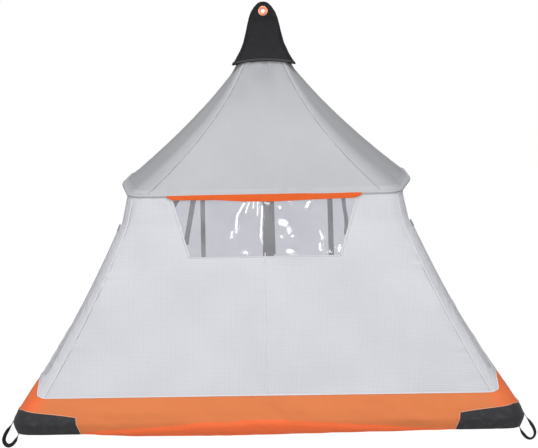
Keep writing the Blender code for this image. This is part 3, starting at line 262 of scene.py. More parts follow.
class Stretch:
    """Part of an outline between marks, run through by a share from 0 to 1."""

    def __init__(self, outline: Outline, marks: Sequence[tuple],
                 shares: Sequence[float] = (0.0, 1.0)) -> None:
        """Finds the marks.

        Args:
            outline: The closed outline.
            marks: Points on it, in order.
            shares: The share at each mark.
        """
        self.outline = outline
        self.shares = list(shares)
        self.places = [outline.locate(*marks[0])]
        for mark in marks[1:]:
            place = outline.locate(*mark)
            while place < self.places[-1]:
                place += outline.length
            self.places.append(place)

    def at(self, share: np.ndarray) -> np.ndarray:
        """Points at shares of the stretch."""
        return self.outline.at(np.interp(share, self.shares, self.places))


def mirrored(*marks: tuple) -> list:
    """The same marks on the left half, in the opposite order."""
    return [(-x, y) for x, y in reversed(marks)]


@dataclass
class FlyShape:
    """The fly's surfaces, in metres, with heights measured up from the rails' plane."""

    base_half_length: float = 1.126
    base_half_depth: float = 0.640
    base_corner: float = 0.090
    brim_front: float = -0.420
    brim_wall: float = 0.295
    brim_half_length: float = 0.672
    brim_front_half: float = 0.604
    brim_height: float = 1.017
    brim_tip_y: float = -0.05
    brim_tilt: float = 0.088
    ridge_x: float = 0.530
    knee: float = 0.13
    knee_run: float = 0.055
    slope: float = 0.89
    curve: float = 0.27
    foot: float = 0.94
    end_hollow: float = 0.070
    hollow_edge: float = 0.06
    ridge_sag: float = 0.51
    wall_sag: float = 0.22
    wall_waist: float = 0.050
    side_fullness: float = 1.2
    band_top: float = 0.120
    band_top_ends: float = 0.205
    band_climb: tuple = (0.0, 0.10, 0.68, 0.94, 1.0)
    band_crease: float = 0.012
    hem_drop: float = 0.038
    hem_inset: float = 0.016
    cap_top: float = 0.043
    cap_sides: tuple = ((0.000, 0.012), (0.006, 0.025), (0.022, 0.041), (0.048, 0.058),
                        (0.076, 0.068), (0.130, 0.080), (0.184, 0.094), (0.238, 0.114),
                        (0.266, 0.130), (0.292, 0.149))
    cap_depths: tuple = (0.0065, 0.070)
    tongue_drop: float = 0.084
    cap_drop: float = 0.292
    neck_drop: float = 0.250
    window_top: float = 0.962
    window_bottom: float = 0.713
    window_top_half: float = 0.415
    window_bottom_half: float = 0.338
    zip_share: float = 0.10
    wall_seam: tuple = (0.642, 0.277)

    def __post_init__(self) -> None:
        """Lays out the outlines and the stretches between the panels' seams."""
        base = Outline(box(self.base_half_length, self.base_half_depth), [self.base_corner] * 4)
        right = ((0.600, self.brim_front), (self.brim_half_length, self.brim_tip_y),
                 (0.660, self.brim_wall))
        brim = Outline(mirrored(right[0]) + list(right) + mirrored(*right[1:]),
                       [0.085, 0.085, 0.600, 0.060, 0.060, 0.600])
        neck_depth = self.cap_half_depth(self.neck_drop)
        neck = Outline(box(float(self.cap_half_width(self.neck_drop)) - 0.0117, neck_depth - 0.0020),
                       [0.045] * 4, 10)
        self.base, self.brim = base, brim
        self.seam_x = self.base_half_length - self.base_corner
        self.corner_cut = self.base_corner * (1 - math.sqrt(0.5))
        front, wall = box(self.seam_x, self.base_half_depth)[1:3]
        zip_foot = (self.base_half_length - self.corner_cut, -self.base_half_depth + self.corner_cut)
        seam, zip_top = (0.587, -0.403), (0.617, -0.345)
        ridge, wall_seam = (self.ridge_x, self.brim_front), self.wall_seam
        neck_front, neck_wall = (0.082, -neck_depth), (0.092, neck_depth)
        shares, back_shares = (0, self.zip_share, 1), (0, 1 - self.zip_share, 1)
        self.skirts = {
            "front": (Stretch(brim, mirrored(seam) + [seam]), Stretch(base, mirrored(front) + [front])),
            "right": (Stretch(brim, (seam, zip_top, wall_seam), shares),
                      Stretch(base, (front, zip_foot, wall), shares)),
            "wall": (Stretch(brim, [wall_seam] + mirrored(wall_seam)),
                     Stretch(base, [wall] + mirrored(wall))),
            "left": (Stretch(brim, mirrored(seam, zip_top, wall_seam), back_shares),
                     Stretch(base, mirrored(front, zip_foot, wall), back_shares))}
        sag, wall_sag = self.ridge_sag, self.wall_sag
        self.canopies = {
            "front": (Stretch(neck, mirrored(neck_front) + [neck_front]),
                      Stretch(brim, mirrored(ridge) + [ridge]), sag, sag),
            "right": (Stretch(neck, (neck_front, neck_wall)), Stretch(brim, (ridge, wall_seam)),
                      sag, wall_sag),
            "wall": (Stretch(neck, [neck_wall] + mirrored(neck_wall)),
                     Stretch(brim, [wall_seam] + mirrored(wall_seam)), wall_sag, wall_sag),
            "left": (Stretch(neck, mirrored(neck_front, neck_wall)),
                     Stretch(brim, mirrored(ridge, wall_seam)), wall_sag, sag)}
        self.neck_z = HANG + self.cap_top - self.neck_drop

    def cap_half_width(self, drop: np.ndarray) -> np.ndarray:
        """Half-width of the cap a distance below its top."""
        drops, halves = np.array(self.cap_sides).T
        return np.interp(drop, drops, halves)

    def cap_half_depth(self, drop: np.ndarray) -> np.ndarray:
        """Half-depth of the cap: flat tongue first, then it opens towards the hem."""
        share = np.maximum(0.0, (drop - self.tongue_drop) / (self.cap_drop - self.tongue_drop))
        tongue, hem = self.cap_depths
        return tongue + (hem - tongue) * share ** 1.3

    def cap_arch(self, spot: np.ndarray) -> np.ndarray:
        """How far the cap's hem rises over points of its section, most in the middle."""
        return 0.016 * (1 - np.minimum(1, np.abs(spot[..., 0]) / self.cap_sides[-1][1]) ** 2)

    def brim_z(self, y: np.ndarray) -> np.ndarray:
        """Height of the tilted brim plane."""
        return self.brim_height + (y - self.brim_tip_y) * self.brim_tilt

    def skirt_run(self, down: np.ndarray) -> np.ndarray:
        """Share of the skirt's run after a share of its drop."""
        def body(place: np.ndarray) -> np.ndarray:
            """The run between the knee and the foot."""
            past = place - self.knee
            return self.knee_run + past * (self.slope + self.curve * past)

        foot = body(self.foot)
        run = np.where(down < self.knee, self.knee_run * down / self.knee,
                       body(np.clip(down, self.knee, self.foot)))
        tail = foot + (1 - foot) * (down - self.foot) / (1 - self.foot)
        return np.where(down > self.foot, tail, run)

    def skirt(self, panel: str, across: np.ndarray, down: np.ndarray) -> np.ndarray:
        """Outer surface of the skirt; down is 0 at the brim and 1 at the rails' plane."""
        top, bottom = self.skirts[panel]
        high, low = top.at(across), bottom.at(across)
        run = self.skirt_run(down)[..., None]
        spot = high * (1 - run) + low * run
        fall = np.clip(down / self.hollow_edge, 0, 1) * np.maximum(0, 1 - down)
        if panel in ("left", "right"):
            from_zip = across if panel == "right" else 1 - across
            inner = np.clip((from_zip - self.zip_share) / (1 - self.zip_share), 0, 1)
            drawn = (self.end_hollow * np.sin(math.pi * inner)
                     + self.wall_waist * smooth_step(inner, 0, 1)) * fall
            spot[..., 0] -= drawn if panel == "right" else -drawn
        if panel == "wall":
            spot[..., 0] -= self.wall_waist * fall * (1 - 2 * across)
        return with_z(spot, self.brim_z(high[..., 1]) * (1 - down))

    def skirt_at(self, panel: str, across: np.ndarray, height: np.ndarray) -> np.ndarray:
        """Outer surface of the skirt at heights above the rails' plane."""
        top = self.skirts[panel][0].at(across)
        return self.skirt(panel, across, 1 - height / self.brim_z(top[..., 1]))

    def canopy(self, panel: str, across: np.ndarray, down: np.ndarray) -> np.ndarray:
        """Outer surface of the upper canopy; down is 0 at its neck and 1 at the brim."""
        top, bottom, left_sag, right_sag = self.canopies[panel]
        share = across[..., None]

        def seam(end: float, sag: float) -> np.ndarray:
            """The seam at one end of the panel, which bows inwards."""
            run = (down - sag * down * (1 - down))[..., None]
            return top.at(end) * (1 - run) + bottom.at(end) * run

        def bulge(edge: Stretch, part: np.ndarray) -> np.ndarray:
            """Part of how far an edge stands off the line between its ends."""
            return (edge.at(across) - (edge.at(0) * (1 - share) + edge.at(1) * share)) * part[..., None]

        spot = seam(0, left_sag) * (1 - share) + seam(1, right_sag) * share
        spot = spot + bulge(top, (1 - down) ** 6) + bulge(bottom, down ** self.side_fullness)
        foot = self.brim_z(bottom.at(across)[..., 1])
        return with_z(spot, self.neck_z + (foot - self.neck_z) * down)

    def front_y(self, height: np.ndarray) -> np.ndarray:
        """Outer surface of the front skirt panel where it is straight across."""
        run = self.skirt_run(1 - height / self.brim_z(self.brim_front))
        return self.brim_front - (self.base_half_depth + self.brim_front) * run

    def window_half(self, height: np.ndarray) -> np.ndarray:
        """Half-width of the window at a height."""
        ends = (self.window_bottom, self.window_top)
        halves = (self.window_bottom_half, self.window_top_half)
        share = (height - ends[0]) / (ends[1] - ends[0])
        return halves[0] + (halves[1] - halves[0]) * share

    def band_edge(self, spot: np.ndarray) -> np.ndarray:
        """Height of the band's upper edge over points of the base: it climbs round each corner."""
        turned = np.clip((np.abs(spot[..., 0]) - self.seam_x) / self.base_corner, 0, 1)
        steps = np.arcsin(turned) / (math.pi / 2) * (len(self.band_climb) - 1)
        climb = np.interp(steps, np.arange(len(self.band_climb)), self.band_climb)
        return self.band_top + (self.band_top_ends - self.band_top) * climb

    def skirt_share(self, distance: np.ndarray) -> tuple:
        """The panel's name and the share that lie over each distance along the base."""
        names = np.full(distance.shape, "front", dtype=object)
        shares = np.zeros(distance.shape)
        for name, (_, bottom) in self.skirts.items():
            along = (distance - bottom.places[0]) % self.base.length
            inside = along <= bottom.places[-1] - bottom.places[0] + 1e-9
            local = np.interp(along, np.array(bottom.places) - bottom.places[0], bottom.shares)
            names[inside] = name
            shares[inside] = local[inside]
        return names, shares

    def band(self, distance: np.ndarray, height: np.ndarray, outset: float = 0.0) -> np.ndarray:
        """Outside of the band: it carries on the skirt's slope, then turns in under the rail."""
        names, shares = self.skirt_share(distance % self.base.length)
        spot = np.zeros(distance.shape + (3,))
        held = np.maximum(height, self.band_crease)
        for name in self.skirts:
            pick = names == name
            if pick.any():
                spot[pick] = self.skirt_at(name, shares[pick], held[pick])
        outward = self.base.outward(distance)
        under = np.maximum(0.0, self.band_crease - height) / (self.band_crease + self.hem_drop)
        move = (outset - self.hem_inset * under ** 1.5)[..., None]
        return with_z(spot[..., :2] + outward * move, height)

    def cap_ring(self, drop: float) -> Outline:
        """The cap's section a distance below its top."""
        halves = float(self.cap_half_width(drop)), float(self.cap_half_depth(drop))
        return Outline(box(*halves), [0.9 * min(*halves, 0.030)] * 4, 10)


class NodeSheet:
    """The node tree of a material or of the world, filled in step by step."""

    def __init__(self, name: str, world: bool = False) -> None:
        """Starts with an empty tree and its output.

        Args:
            name: The material's or world's name.
            world: Whether it is a world.
        """
        self.home = (bpy.data.worlds if world else bpy.data.materials).new(name)
        self.home.use_nodes = True
        self.tree = self.home.node_tree
        self.tree.nodes.clear()
        self.output = self.add("OutputWorld" if world else "OutputMaterial")

    def fill(self, socket: Socket, value: object) -> None:
        """Links a value to a socket, or sets it."""
        if isinstance(value, Socket):
            self.tree.links.new(value, socket)
        else:
            socket.default_value = value

    def add(self, kind: str, values: Optional[dict] = None, **settings: object) -> bpy.types.Node:
        """Adds a node.

        Args:
            kind: The node type without its ShaderNode prefix.
            values: Socket values or links, by socket name or index.
            settings: The node's own properties.

        Returns:
            The new node.
        """
        node = self.tree.nodes.new("ShaderNode" + kind)
        for key, value in settings.items():
            setattr(node, key, value)
        for key, value in (values or {}).items():
            self.fill(node.inputs[key], value)
        return node

    def scaled(self, vector: Socket, scale: tuple) -> Socket:
        """Coordinates, scaled."""
        return self.add("Mapping", {"Vector": vector, "Scale": scale}).outputs["Vector"]

    def uv(self, scale: tuple = EVEN) -> Socket:
        """The piece's own cloth coordinates in metres, scaled."""
        return self.scaled(self.add("UVMap", uv_map="cloth").outputs["UV"], scale)

    def spot(self, scale: tuple = EVEN) -> Socket:
        """Object coordinates, scaled."""
        return self.scaled(self.add("TexCoord").outputs["Object"], scale)

    def split(self) -> tuple:
        """Cloth coordinates across and along the piece."""
        parts = self.add("SeparateXYZ", {0: self.uv()})
        return parts.outputs["X"], parts.outputs["Y"]

    def noise(self, vector: Socket, scale: float, detail: float = 3.0) -> Socket:
        """A noise pattern's value."""
        return self.add("TexNoise", {"Vector": vector, "Scale": scale, "Detail": detail}).outputs["Fac"]

    def math(self, operation: str, first: object, second: object = 0.0) -> Socket:
        """One sum over two values."""
        return self.add("Math", {0: first, 1: second}, operation=operation).outputs[0]

    def ramp(self, value: Socket, low: float, high: float, start: float = 0.0,
             end: float = 1.0) -> Socket:
        """Maps a value from one range to another and holds it there."""
        ends = {"From Min": low, "From Max": high, "To Min": start, "To Max": end}
        return self.add("MapRange", {"Value": value, **ends}).outputs["Result"]

    def beats(self, along: Socket, pitch: float, low: float, high: float) -> Socket:
        """Repeated marks along a strip: one in the middle of each pitch, zero between."""
        beat = self.math("FRACT", self.math("DIVIDE", along, pitch))
        return self.ramp(self.math("ABSOLUTE", self.math("SUBTRACT", beat, 0.5)), low, high, 1.0, 0.0)

    def grey(self, value: Socket) -> Socket:
        """A grey of that value."""
        return self.add("CombineColor", {0: value, 1: value, 2: value}).outputs[0]

    def blend(self, share: object, first: object, second: object, way: str = "MIX") -> Socket:
        """Mixes two colours."""
        node = self.add("Mix", {0: share}, data_type="RGBA", blend_type=way)
        for index, value in ((6, first), (7, second)):
            self.fill(node.inputs[index], (*value, 1) if isinstance(value, tuple) else value)
        return node.outputs[2]

    def bricks(self, size: tuple, gap: float, soft: float, second: float = 1.0,
               **settings: object) -> bpy.types.Node:
        """A brick pattern over the cloth.

        Args:
            size: A brick's width and height.
            gap: Half-width of the lines between the bricks.
            soft: How far the lines' edges fade.
            second: Grey of every other brick.
            settings: The node's own properties.

        Returns:
            The new node.
        """
        colours = {"Color1": (1, 1, 1, 1), "Color2": (second, second, second, 1),
                   "Mortar": (0, 0, 0, 1)}
        sizes = {"Scale": 1.0, "Mortar Size": gap, "Mortar Smooth": soft, "Brick Width": size[0],
                 "Row Height": size[1]}
        return self.add("TexBrick", {"Vector": self.uv(), **colours, **sizes}, **settings)

    def bump(self, height: Socket, distance: float, strength: float = 1.0,
             under: Optional[Socket] = None) -> Socket:
        """A bump from a height pattern, over an earlier bump."""
        node = self.add("Bump", {"Height": height, "Distance": distance, "Strength": strength})
        if under is not None:
            self.fill(node.inputs["Normal"], under)
        return node.outputs["Normal"]

    def principled(self, colour: object, rough: object, normal: Socket, **more: object) -> Socket:
        """A principled shader; further sockets are named with underscores for spaces."""
        values = {key.replace("_", " "): value for key, value in more.items()}
        return self.add("BsdfPrincipled", {"Base Color": colour, "Roughness": rough, "Normal": normal,
                                           **values}).outputs[0]

    def mixed(self, share: object, first: Socket, second: Socket) -> Socket:
        """Mixes two shaders."""
        return self.add("MixShader", {0: share, 1: first, 2: second}).outputs[0]

    def seen(self) -> Socket:
        """One for rays from the camera, off gloss or through film, and zero for the rest."""
        path = self.add("LightPath")
        seen = path.outputs["Is Camera Ray"]
        for ray in ("Is Glossy Ray", "Is Transmission Ray"):
            seen = self.math("MAXIMUM", seen, path.outputs[ray])
        return seen

    def finish(self, surface: Socket) -> bpy.types.ID:
        """Links the shader to the output."""
        self.fill(self.output.inputs["Surface"], surface)
        return self.home


@dataclass(frozen=True)
class Ripstop:
    """Thin coated cloth with a raised grid of stouter threads, which lets some light through.

    Where a shade tone is given, the cloth darkens to it as far as a per-point attribute says: this is
    painted shade, not a tone of the cloth.
    """

    name: str
    colour: tuple
    thread: tuple
    pitch: float = 0.0095
    sheer: float = 0.25
    roughness: float = 0.58
    crumple: float = 0.0012
    shine: float = 0.22
    relief: float = 1.0
    # Tone of the painted shade, if any.
    deep: Optional[tuple] = None

    def make(self) -> bpy.types.Material:
        """Builds the material."""
        sheet = NodeSheet(self.name)
        place = sheet.uv()
        line = sheet.bricks((self.pitch, self.pitch), self.pitch * 0.09, 0.35, offset=0.0,
                            squash=1.0).outputs["Fac"]
        tone = sheet.ramp(sheet.noise(place, 3.2, 4.0), 0.3, 0.7, 0.955, 1.03)
        colour = sheet.blend(sheet.math("MULTIPLY", line, 0.55), self.colour, self.thread)
        colour = sheet.blend(1.0, colour, sheet.grey(tone), "MULTIPLY")
        # Painted shade: blends towards the shade tone by the per-point shade share.
        if self.deep:
            tint = sheet.add("Attribute", attribute_name="tint").outputs["Fac"]
            colour = sheet.blend(tint, colour, self.deep)
        soft = sheet.noise(sheet.uv((1.0, 0.55, 1.0)), 22.0, 5.0)
        normal = sheet.bump(soft, self.crumple, 0.6 * self.relief)
        normal = sheet.bump(line, 0.00025, 0.8 * self.relief, normal)
        normal = sheet.bump(sheet.noise(place, 900.0, 2.0), 0.0001, 0.35 * self.relief, normal)
        rough = sheet.ramp(soft, 0.3, 0.7, self.roughness - 0.06, self.roughness + 0.06)
        front = sheet.principled(colour, rough, normal, Specular_IOR_Level=self.shine)
        through = sheet.add("BsdfTranslucent", {"Color": colour}).outputs[0]
        return sheet.finish(sheet.mixed(self.sheer, front, through))


@dataclass(frozen=True)
class CoatedCloth:
    """Heavy plain-woven nylon with a slightly shiny coat."""

    name: str
    colour: tuple
    worn: tuple
    roughness: float = 0.5
    pitch: float = 0.0011

    def make(self) -> bpy.types.Material:
        """Builds the material."""
        sheet = NodeSheet(self.name)
        weave = sheet.bricks((self.pitch * 1.6, self.pitch * 0.8), self.pitch * 0.12, 0.6, 0.4)
        scuffs = sheet.noise(sheet.uv(), 26.0, 6.0)
        colour = sheet.blend(sheet.ramp(scuffs, 0.5, 0.72, 0.0, 0.55), self.colour, self.worn)
        normal = sheet.bump(sheet.noise(sheet.uv(), 30.0), 0.002, 0.5)
        normal = sheet.bump(weave.outputs["Color"], 0.0002, 0.5, normal)
        rough = sheet.ramp(scuffs, 0.3, 0.75, self.roughness - 0.08, self.roughness + 0.16)
        return sheet.finish(sheet.principled(colour, rough, normal, Specular_IOR_Level=0.08))


@dataclass(frozen=True)
class Webbing:
    """Flat woven strap: ribs across it, a smooth selvedge and a fleck of lighter yarn."""

    name: str
    colour: tuple
    fleck: tuple
    width: float = 0.025

    def make(self) -> bpy.types.Material:
        """Builds the material."""
        sheet = NodeSheet(self.name)
        ribs = sheet.bricks((0.0026, 0.0015), 0.00022, 0.8, 0.55, offset=0.5)
        from_middle = sheet.math("ABSOLUTE", sheet.split()[0])
        edge = sheet.ramp(from_middle, self.width * 0.40, self.width * 0.47)
        speck = sheet.ramp(sheet.noise(sheet.uv((1.0, 0.4, 1.0)), 420.0, 2.0), 0.56, 0.68, 0.0, 0.7)
        colour = sheet.blend(speck, self.colour, self.fleck)
        colour = sheet.blend(sheet.math("MULTIPLY", edge, 0.4), colour, self.fleck)
        normal = sheet.bump(ribs.outputs["Color"], 0.0004, 0.8)
        return sheet.finish(sheet.principled(colour, 0.72, normal, Specular_IOR_Level=0.12))


@dataclass(frozen=True)
class SeamTape:
    """A narrow folded strip of cloth with two rows of stitches along it."""

    name: str
    colour: tuple
    thread: tuple
    width: float
    pitch: float = 0.0040

    def make(self) -> bpy.types.Material:
        """Builds the material."""
        sheet = NodeSheet(self.name)
        across, along = sheet.split()
        from_middle = sheet.math("ABSOLUTE", across)
        off_row = sheet.math("ABSOLUTE", sheet.math("SUBTRACT", from_middle, self.width * 0.32))
        in_row = sheet.ramp(off_row, 0.0003, 0.0008, 1.0, 0.0)
        stitch = sheet.math("MULTIPLY", in_row, sheet.beats(along, self.pitch, 0.30, 0.38))
        colour = sheet.blend(stitch, self.colour, self.thread)
        normal = sheet.bump(sheet.noise(sheet.uv((0.4, 1.0, 1.0)), 120.0, 2.0), 0.0008, 0.8)
        normal = sheet.bump(sheet.math("SUBTRACT", stitch, in_row), 0.0004, 0.9, normal)
        return sheet.finish(sheet.principled(colour, 0.6, normal, Specular_IOR_Level=0.3))


@dataclass(frozen=True)
class ClearFilm:
    """Clear vinyl: mostly see-through, a little grey, with sharp glints on its creases."""

    name: str
    cover: float = 0.17
    gloss: float = 0.06

    def make(self) -> bpy.types.Material:
        """Builds the material."""
        sheet = NodeSheet(self.name)
        place = sheet.uv()
        scratches = sheet.noise(sheet.uv((1.0, 0.3, 1.0)), 60.0, 4.0)
        cloud = sheet.ramp(sheet.noise(place, 9.0), 0.35, 0.7, self.cover - 0.03, self.cover + 0.04)
        normal = sheet.bump(sheet.noise(place, 26.0, 1.5), 0.0004, 0.6)
        rough = sheet.ramp(scratches, 0.4, 0.75, self.gloss, self.gloss + 0.08)
        vinyl = sheet.principled((0.62, 0.62, 0.65, 1), rough, normal, Specular_IOR_Level=1.0, IOR=2.0)
        clear = sheet.add("BsdfTransparent", {"Color": (0.95, 0.95, 0.97, 1)}).outputs[0]
        return sheet.finish(sheet.mixed(cloud, clear, vinyl))


@dataclass(frozen=True)
class Metal:
    """Drawn, cast or plated metal with fine marks along it and worn, lighter patches."""

    name: str
    colour: tuple
    worn: tuple
    roughness: float = 0.32
    stretch: tuple = EVEN

    def make(self) -> bpy.types.Material:
        """Builds the material."""
        sheet = NodeSheet(self.name)
        marks = sheet.noise(sheet.spot(self.stretch), 220.0, 4.0)
        patches = sheet.noise(sheet.spot(), 18.0, 5.0)
        colour = sheet.blend(sheet.ramp(patches, 0.48, 0.70, 0.0, 0.6), self.colour, self.worn)
        rough = sheet.ramp(marks, 0.3, 0.7, self.roughness - 0.07, self.roughness + 0.1)
        normal = sheet.bump(marks, 0.0002, 0.35)
        return sheet.finish(sheet.principled(colour, rough, normal, Metallic=1.0))


@dataclass(frozen=True)
class Fibreglass:
    """Pulled glass fibre in resin, faintly grained along its length."""

    name: str
    colour: tuple
    roughness: float
    grain: float
    streak: tuple

    def make(self) -> bpy.types.Material:
        """Builds the material."""
        sheet = NodeSheet(self.name)
        grain = sheet.noise(sheet.spot(self.streak), self.grain)
        tone = sheet.grey(sheet.ramp(grain, 0.3, 0.7, 0.85, 1.12))
        colour = sheet.blend(1.0, self.colour, tone, "MULTIPLY")
        return sheet.finish(sheet.principled(colour, self.roughness, sheet.bump(grain, 0.0002, 0.4)))


@dataclass(frozen=True)
class ZipCoil:
    """Two rows of interlocked coils with a groove between them."""

    name: str
    colour: tuple
    pitch: float = 0.0026

    def make(self) -> bpy.types.Material:
        """Builds the material."""
        sheet = NodeSheet(self.name)
        across, along = sheet.split()
        slant = sheet.math("ADD", along, sheet.math("MULTIPLY", across, 0.25))
        tooth = sheet.beats(slant, self.pitch, 0.12, 0.42)
        groove = sheet.ramp(sheet.math("ABSOLUTE", across), 0.0002, 0.0009)
        height = sheet.math("MULTIPLY", tooth, groove)
        # Painted shade: the colour falls to about a third between the teeth and in the groove.
        colour = sheet.blend(height, tuple(value * 0.35 for value in self.colour), self.colour)
        return sheet.finish(sheet.principled(colour, 0.42, sheet.bump(height, 0.0009, 1.0)))


@dataclass
class Wardrobe:
    """Every finish on the ledge, made once."""

    light: Ripstop = Ripstop("ripstop_pale_grey", (0.70, 0.705, 0.735), (0.55, 0.55, 0.59),
                             pitch=0.0108, sheer=0.36)
    wall: Ripstop = Ripstop("ripstop_sheer_grey", (0.72, 0.725, 0.75), (0.60, 0.60, 0.63),
                            pitch=0.0108, sheer=0.72)
    sleeve: Ripstop = Ripstop("ripstop_sleeve_grey", (0.40, 0.405, 0.42), (0.34, 0.34, 0.355),
                              sheer=0.02, roughness=0.8, shine=0.0, relief=0.15)
    # Its shade tone is painted shade, laid on towards the cap.
    canopy: Ripstop = Ripstop("ripstop_grey", (0.44, 0.445, 0.465), (0.36, 0.36, 0.38), sheer=0.18,
                              deep=(0.33, 0.335, 0.355))
    # A darker grey for the end panels than the front: painted shade for sides that turn away from the
    # light.
    canopy_side: Ripstop = Ripstop("ripstop_mid_grey", (0.37, 0.375, 0.39), (0.31, 0.31, 0.325),
                                   sheer=0.05, roughness=0.8, shine=0.0, relief=0.12)
    # Its shade tone is painted shade, laid on the turned-under strip and the folds at the corners.
    orange: Ripstop = Ripstop("ripstop_orange", (0.65, 0.190, 0.062), (0.52, 0.13, 0.04), sheer=0.10,
                              deep=(0.78, 0.140, 0.040))
    flap: Ripstop = Ripstop("ripstop_bright_orange", (0.66, 0.110, 0.022), (0.48, 0.07, 0.014),
                            sheer=0.05, shine=0.1)
    black: CoatedCloth = CoatedCloth("coated_black", (0.009, 0.009, 0.011), (0.020, 0.020, 0.022))
    patch: CoatedCloth = CoatedCloth("coated_patch_black", (0.030, 0.030, 0.033), (0.060, 0.060, 0.064))
    bed: CoatedCloth = CoatedCloth("coated_bed_black", (0.028, 0.029, 0.033), (0.055, 0.056, 0.062),
                                   0.62)
    strap: Webbing = Webbing("webbing_grey", (0.016, 0.016, 0.020), (0.055, 0.055, 0.065))
    tip: Webbing = Webbing("webbing_navy", (0.030, 0.028, 0.11), (0.06, 0.06, 0.18))
    loop: Webbing = Webbing("webbing_black", (0.012, 0.012, 0.014), (0.05, 0.05, 0.055), 0.020)
    tape: SeamTape = SeamTape("tape_pale_grey", (0.55, 0.555, 0.58), (0.44, 0.44, 0.47), 0.009)
    plain_tape: SeamTape = SeamTape("tape_soft_grey", (0.50, 0.505, 0.53), (0.42, 0.42, 0.45), 0.005)
    # As dark as the end panels, to hold down the light the ridges' upward faces catch: painted shade.
    ridge_tape: SeamTape = SeamTape("tape_grey", (0.37, 0.375, 0.39), (0.30, 0.30, 0.315), 0.010)
    black_tape: SeamTape = SeamTape("tape_black", (0.008, 0.008, 0.010), (0.04, 0.04, 0.045), 0.010)
    binding: SeamTape = SeamTape("binding_orange", (0.62, 0.23, 0.11), (0.64, 0.36, 0.24), 0.0035)
    film: ClearFilm = ClearFilm("clear_vinyl")
    tube: Metal = Metal("drawn_aluminium", (0.62, 0.63, 0.65), (0.75, 0.76, 0.78), 0.30,
                        (0.05, 0.05, 1.0))
    elbow: Metal = Metal("anodised_grey", (0.24, 0.245, 0.26), (0.42, 0.42, 0.44), 0.38)
    buckle: Metal = Metal("satin_steel", (0.45, 0.46, 0.48), (0.60, 0.61, 0.63), 0.30, (1.0, 1.0, 0.08))
    lever: Metal = Metal("pressed_steel", (0.58, 0.59, 0.61), (0.72, 0.73, 0.75), 0.26)
    copper: Metal = Metal("copper_plate", (0.46, 0.17, 0.095), (0.70, 0.36, 0.25), 0.34)
    slider: Metal = Metal("painted_die_cast", (0.22, 0.225, 0.24), (0.45, 0.45, 0.47), 0.40)
    pole: Fibreglass = Fibreglass("fibreglass_rod", (0.10, 0.10, 0.11), 0.38, 90.0, (0.3, 1.0, 1.0))
    coil: ZipCoil = ZipCoil("coil_zip_grey", (0.56, 0.565, 0.59))
    made: dict = field(default_factory=dict)

    def wear(self, item: bpy.types.Object, name: str) -> None:
        """Gives an object one finish, whose material is made on first use."""
        if name not in self.made:
            self.made[name] = getattr(self, name).make()
        item.data.materials.clear()
        item.data.materials.append(self.made[name])


WARDROBE = Wardrobe()


def sole_selection(item: bpy.types.Object) -> None:
    """Selects one object alone and makes it active."""
    bpy.ops.object.select_all(action="DESELECT")
    item.select_set(True)
    bpy.context.view_layer.objects.active = item


@contextmanager
def editing(item: bpy.types.Object, select: Optional[str] = "SELECT") -> Iterator[None]:
    """Edit mode on one object, with its selection changed or left, and object mode again after."""
    sole_selection(item)
    bpy.ops.object.mode_set(mode="EDIT")
    if select:
        bpy.ops.mesh.select_all(action=select)
    yield
    bpy.ops.object.mode_set(mode="OBJECT")


def linked(name: str, data: bpy.types.ID) -> bpy.types.Object:
    """A new object in the scene."""
    item = bpy.data.objects.new(name, data)
    bpy.context.scene.collection.objects.link(item)
    return item


def smooth(item: bpy.types.Object, angle: float = 50.0) -> None:
    """Shades an object smooth below an angle in degrees."""
    sole_selection(item)
    bpy.ops.object.shade_smooth_by_angle(angle=math.radians(angle))


def aimed(place: Sequence[float], target: Sequence[float]) -> Quaternion:
    """The turn that points a lamp or camera at a target."""
    return (Vector(target) - Vector(place)).to_track_quat("-Z", "Y")


def seat(item: bpy.types.Object, finish: str, body: str,
         replaces: Sequence[str]) -> None:
    """Gives a finished piece its looks and its place on the frame.

    Args:
        item: The piece.
        finish: The wardrobe's name for its finish.
        body: The body it rides on.
        replaces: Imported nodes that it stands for.
    """
    WARDROBE.wear(item, finish)
    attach(item, body)
    if replaces:
        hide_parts(*replaces)
    LOG.info("%s: %d faces", item.name, len(item.data.polygons))


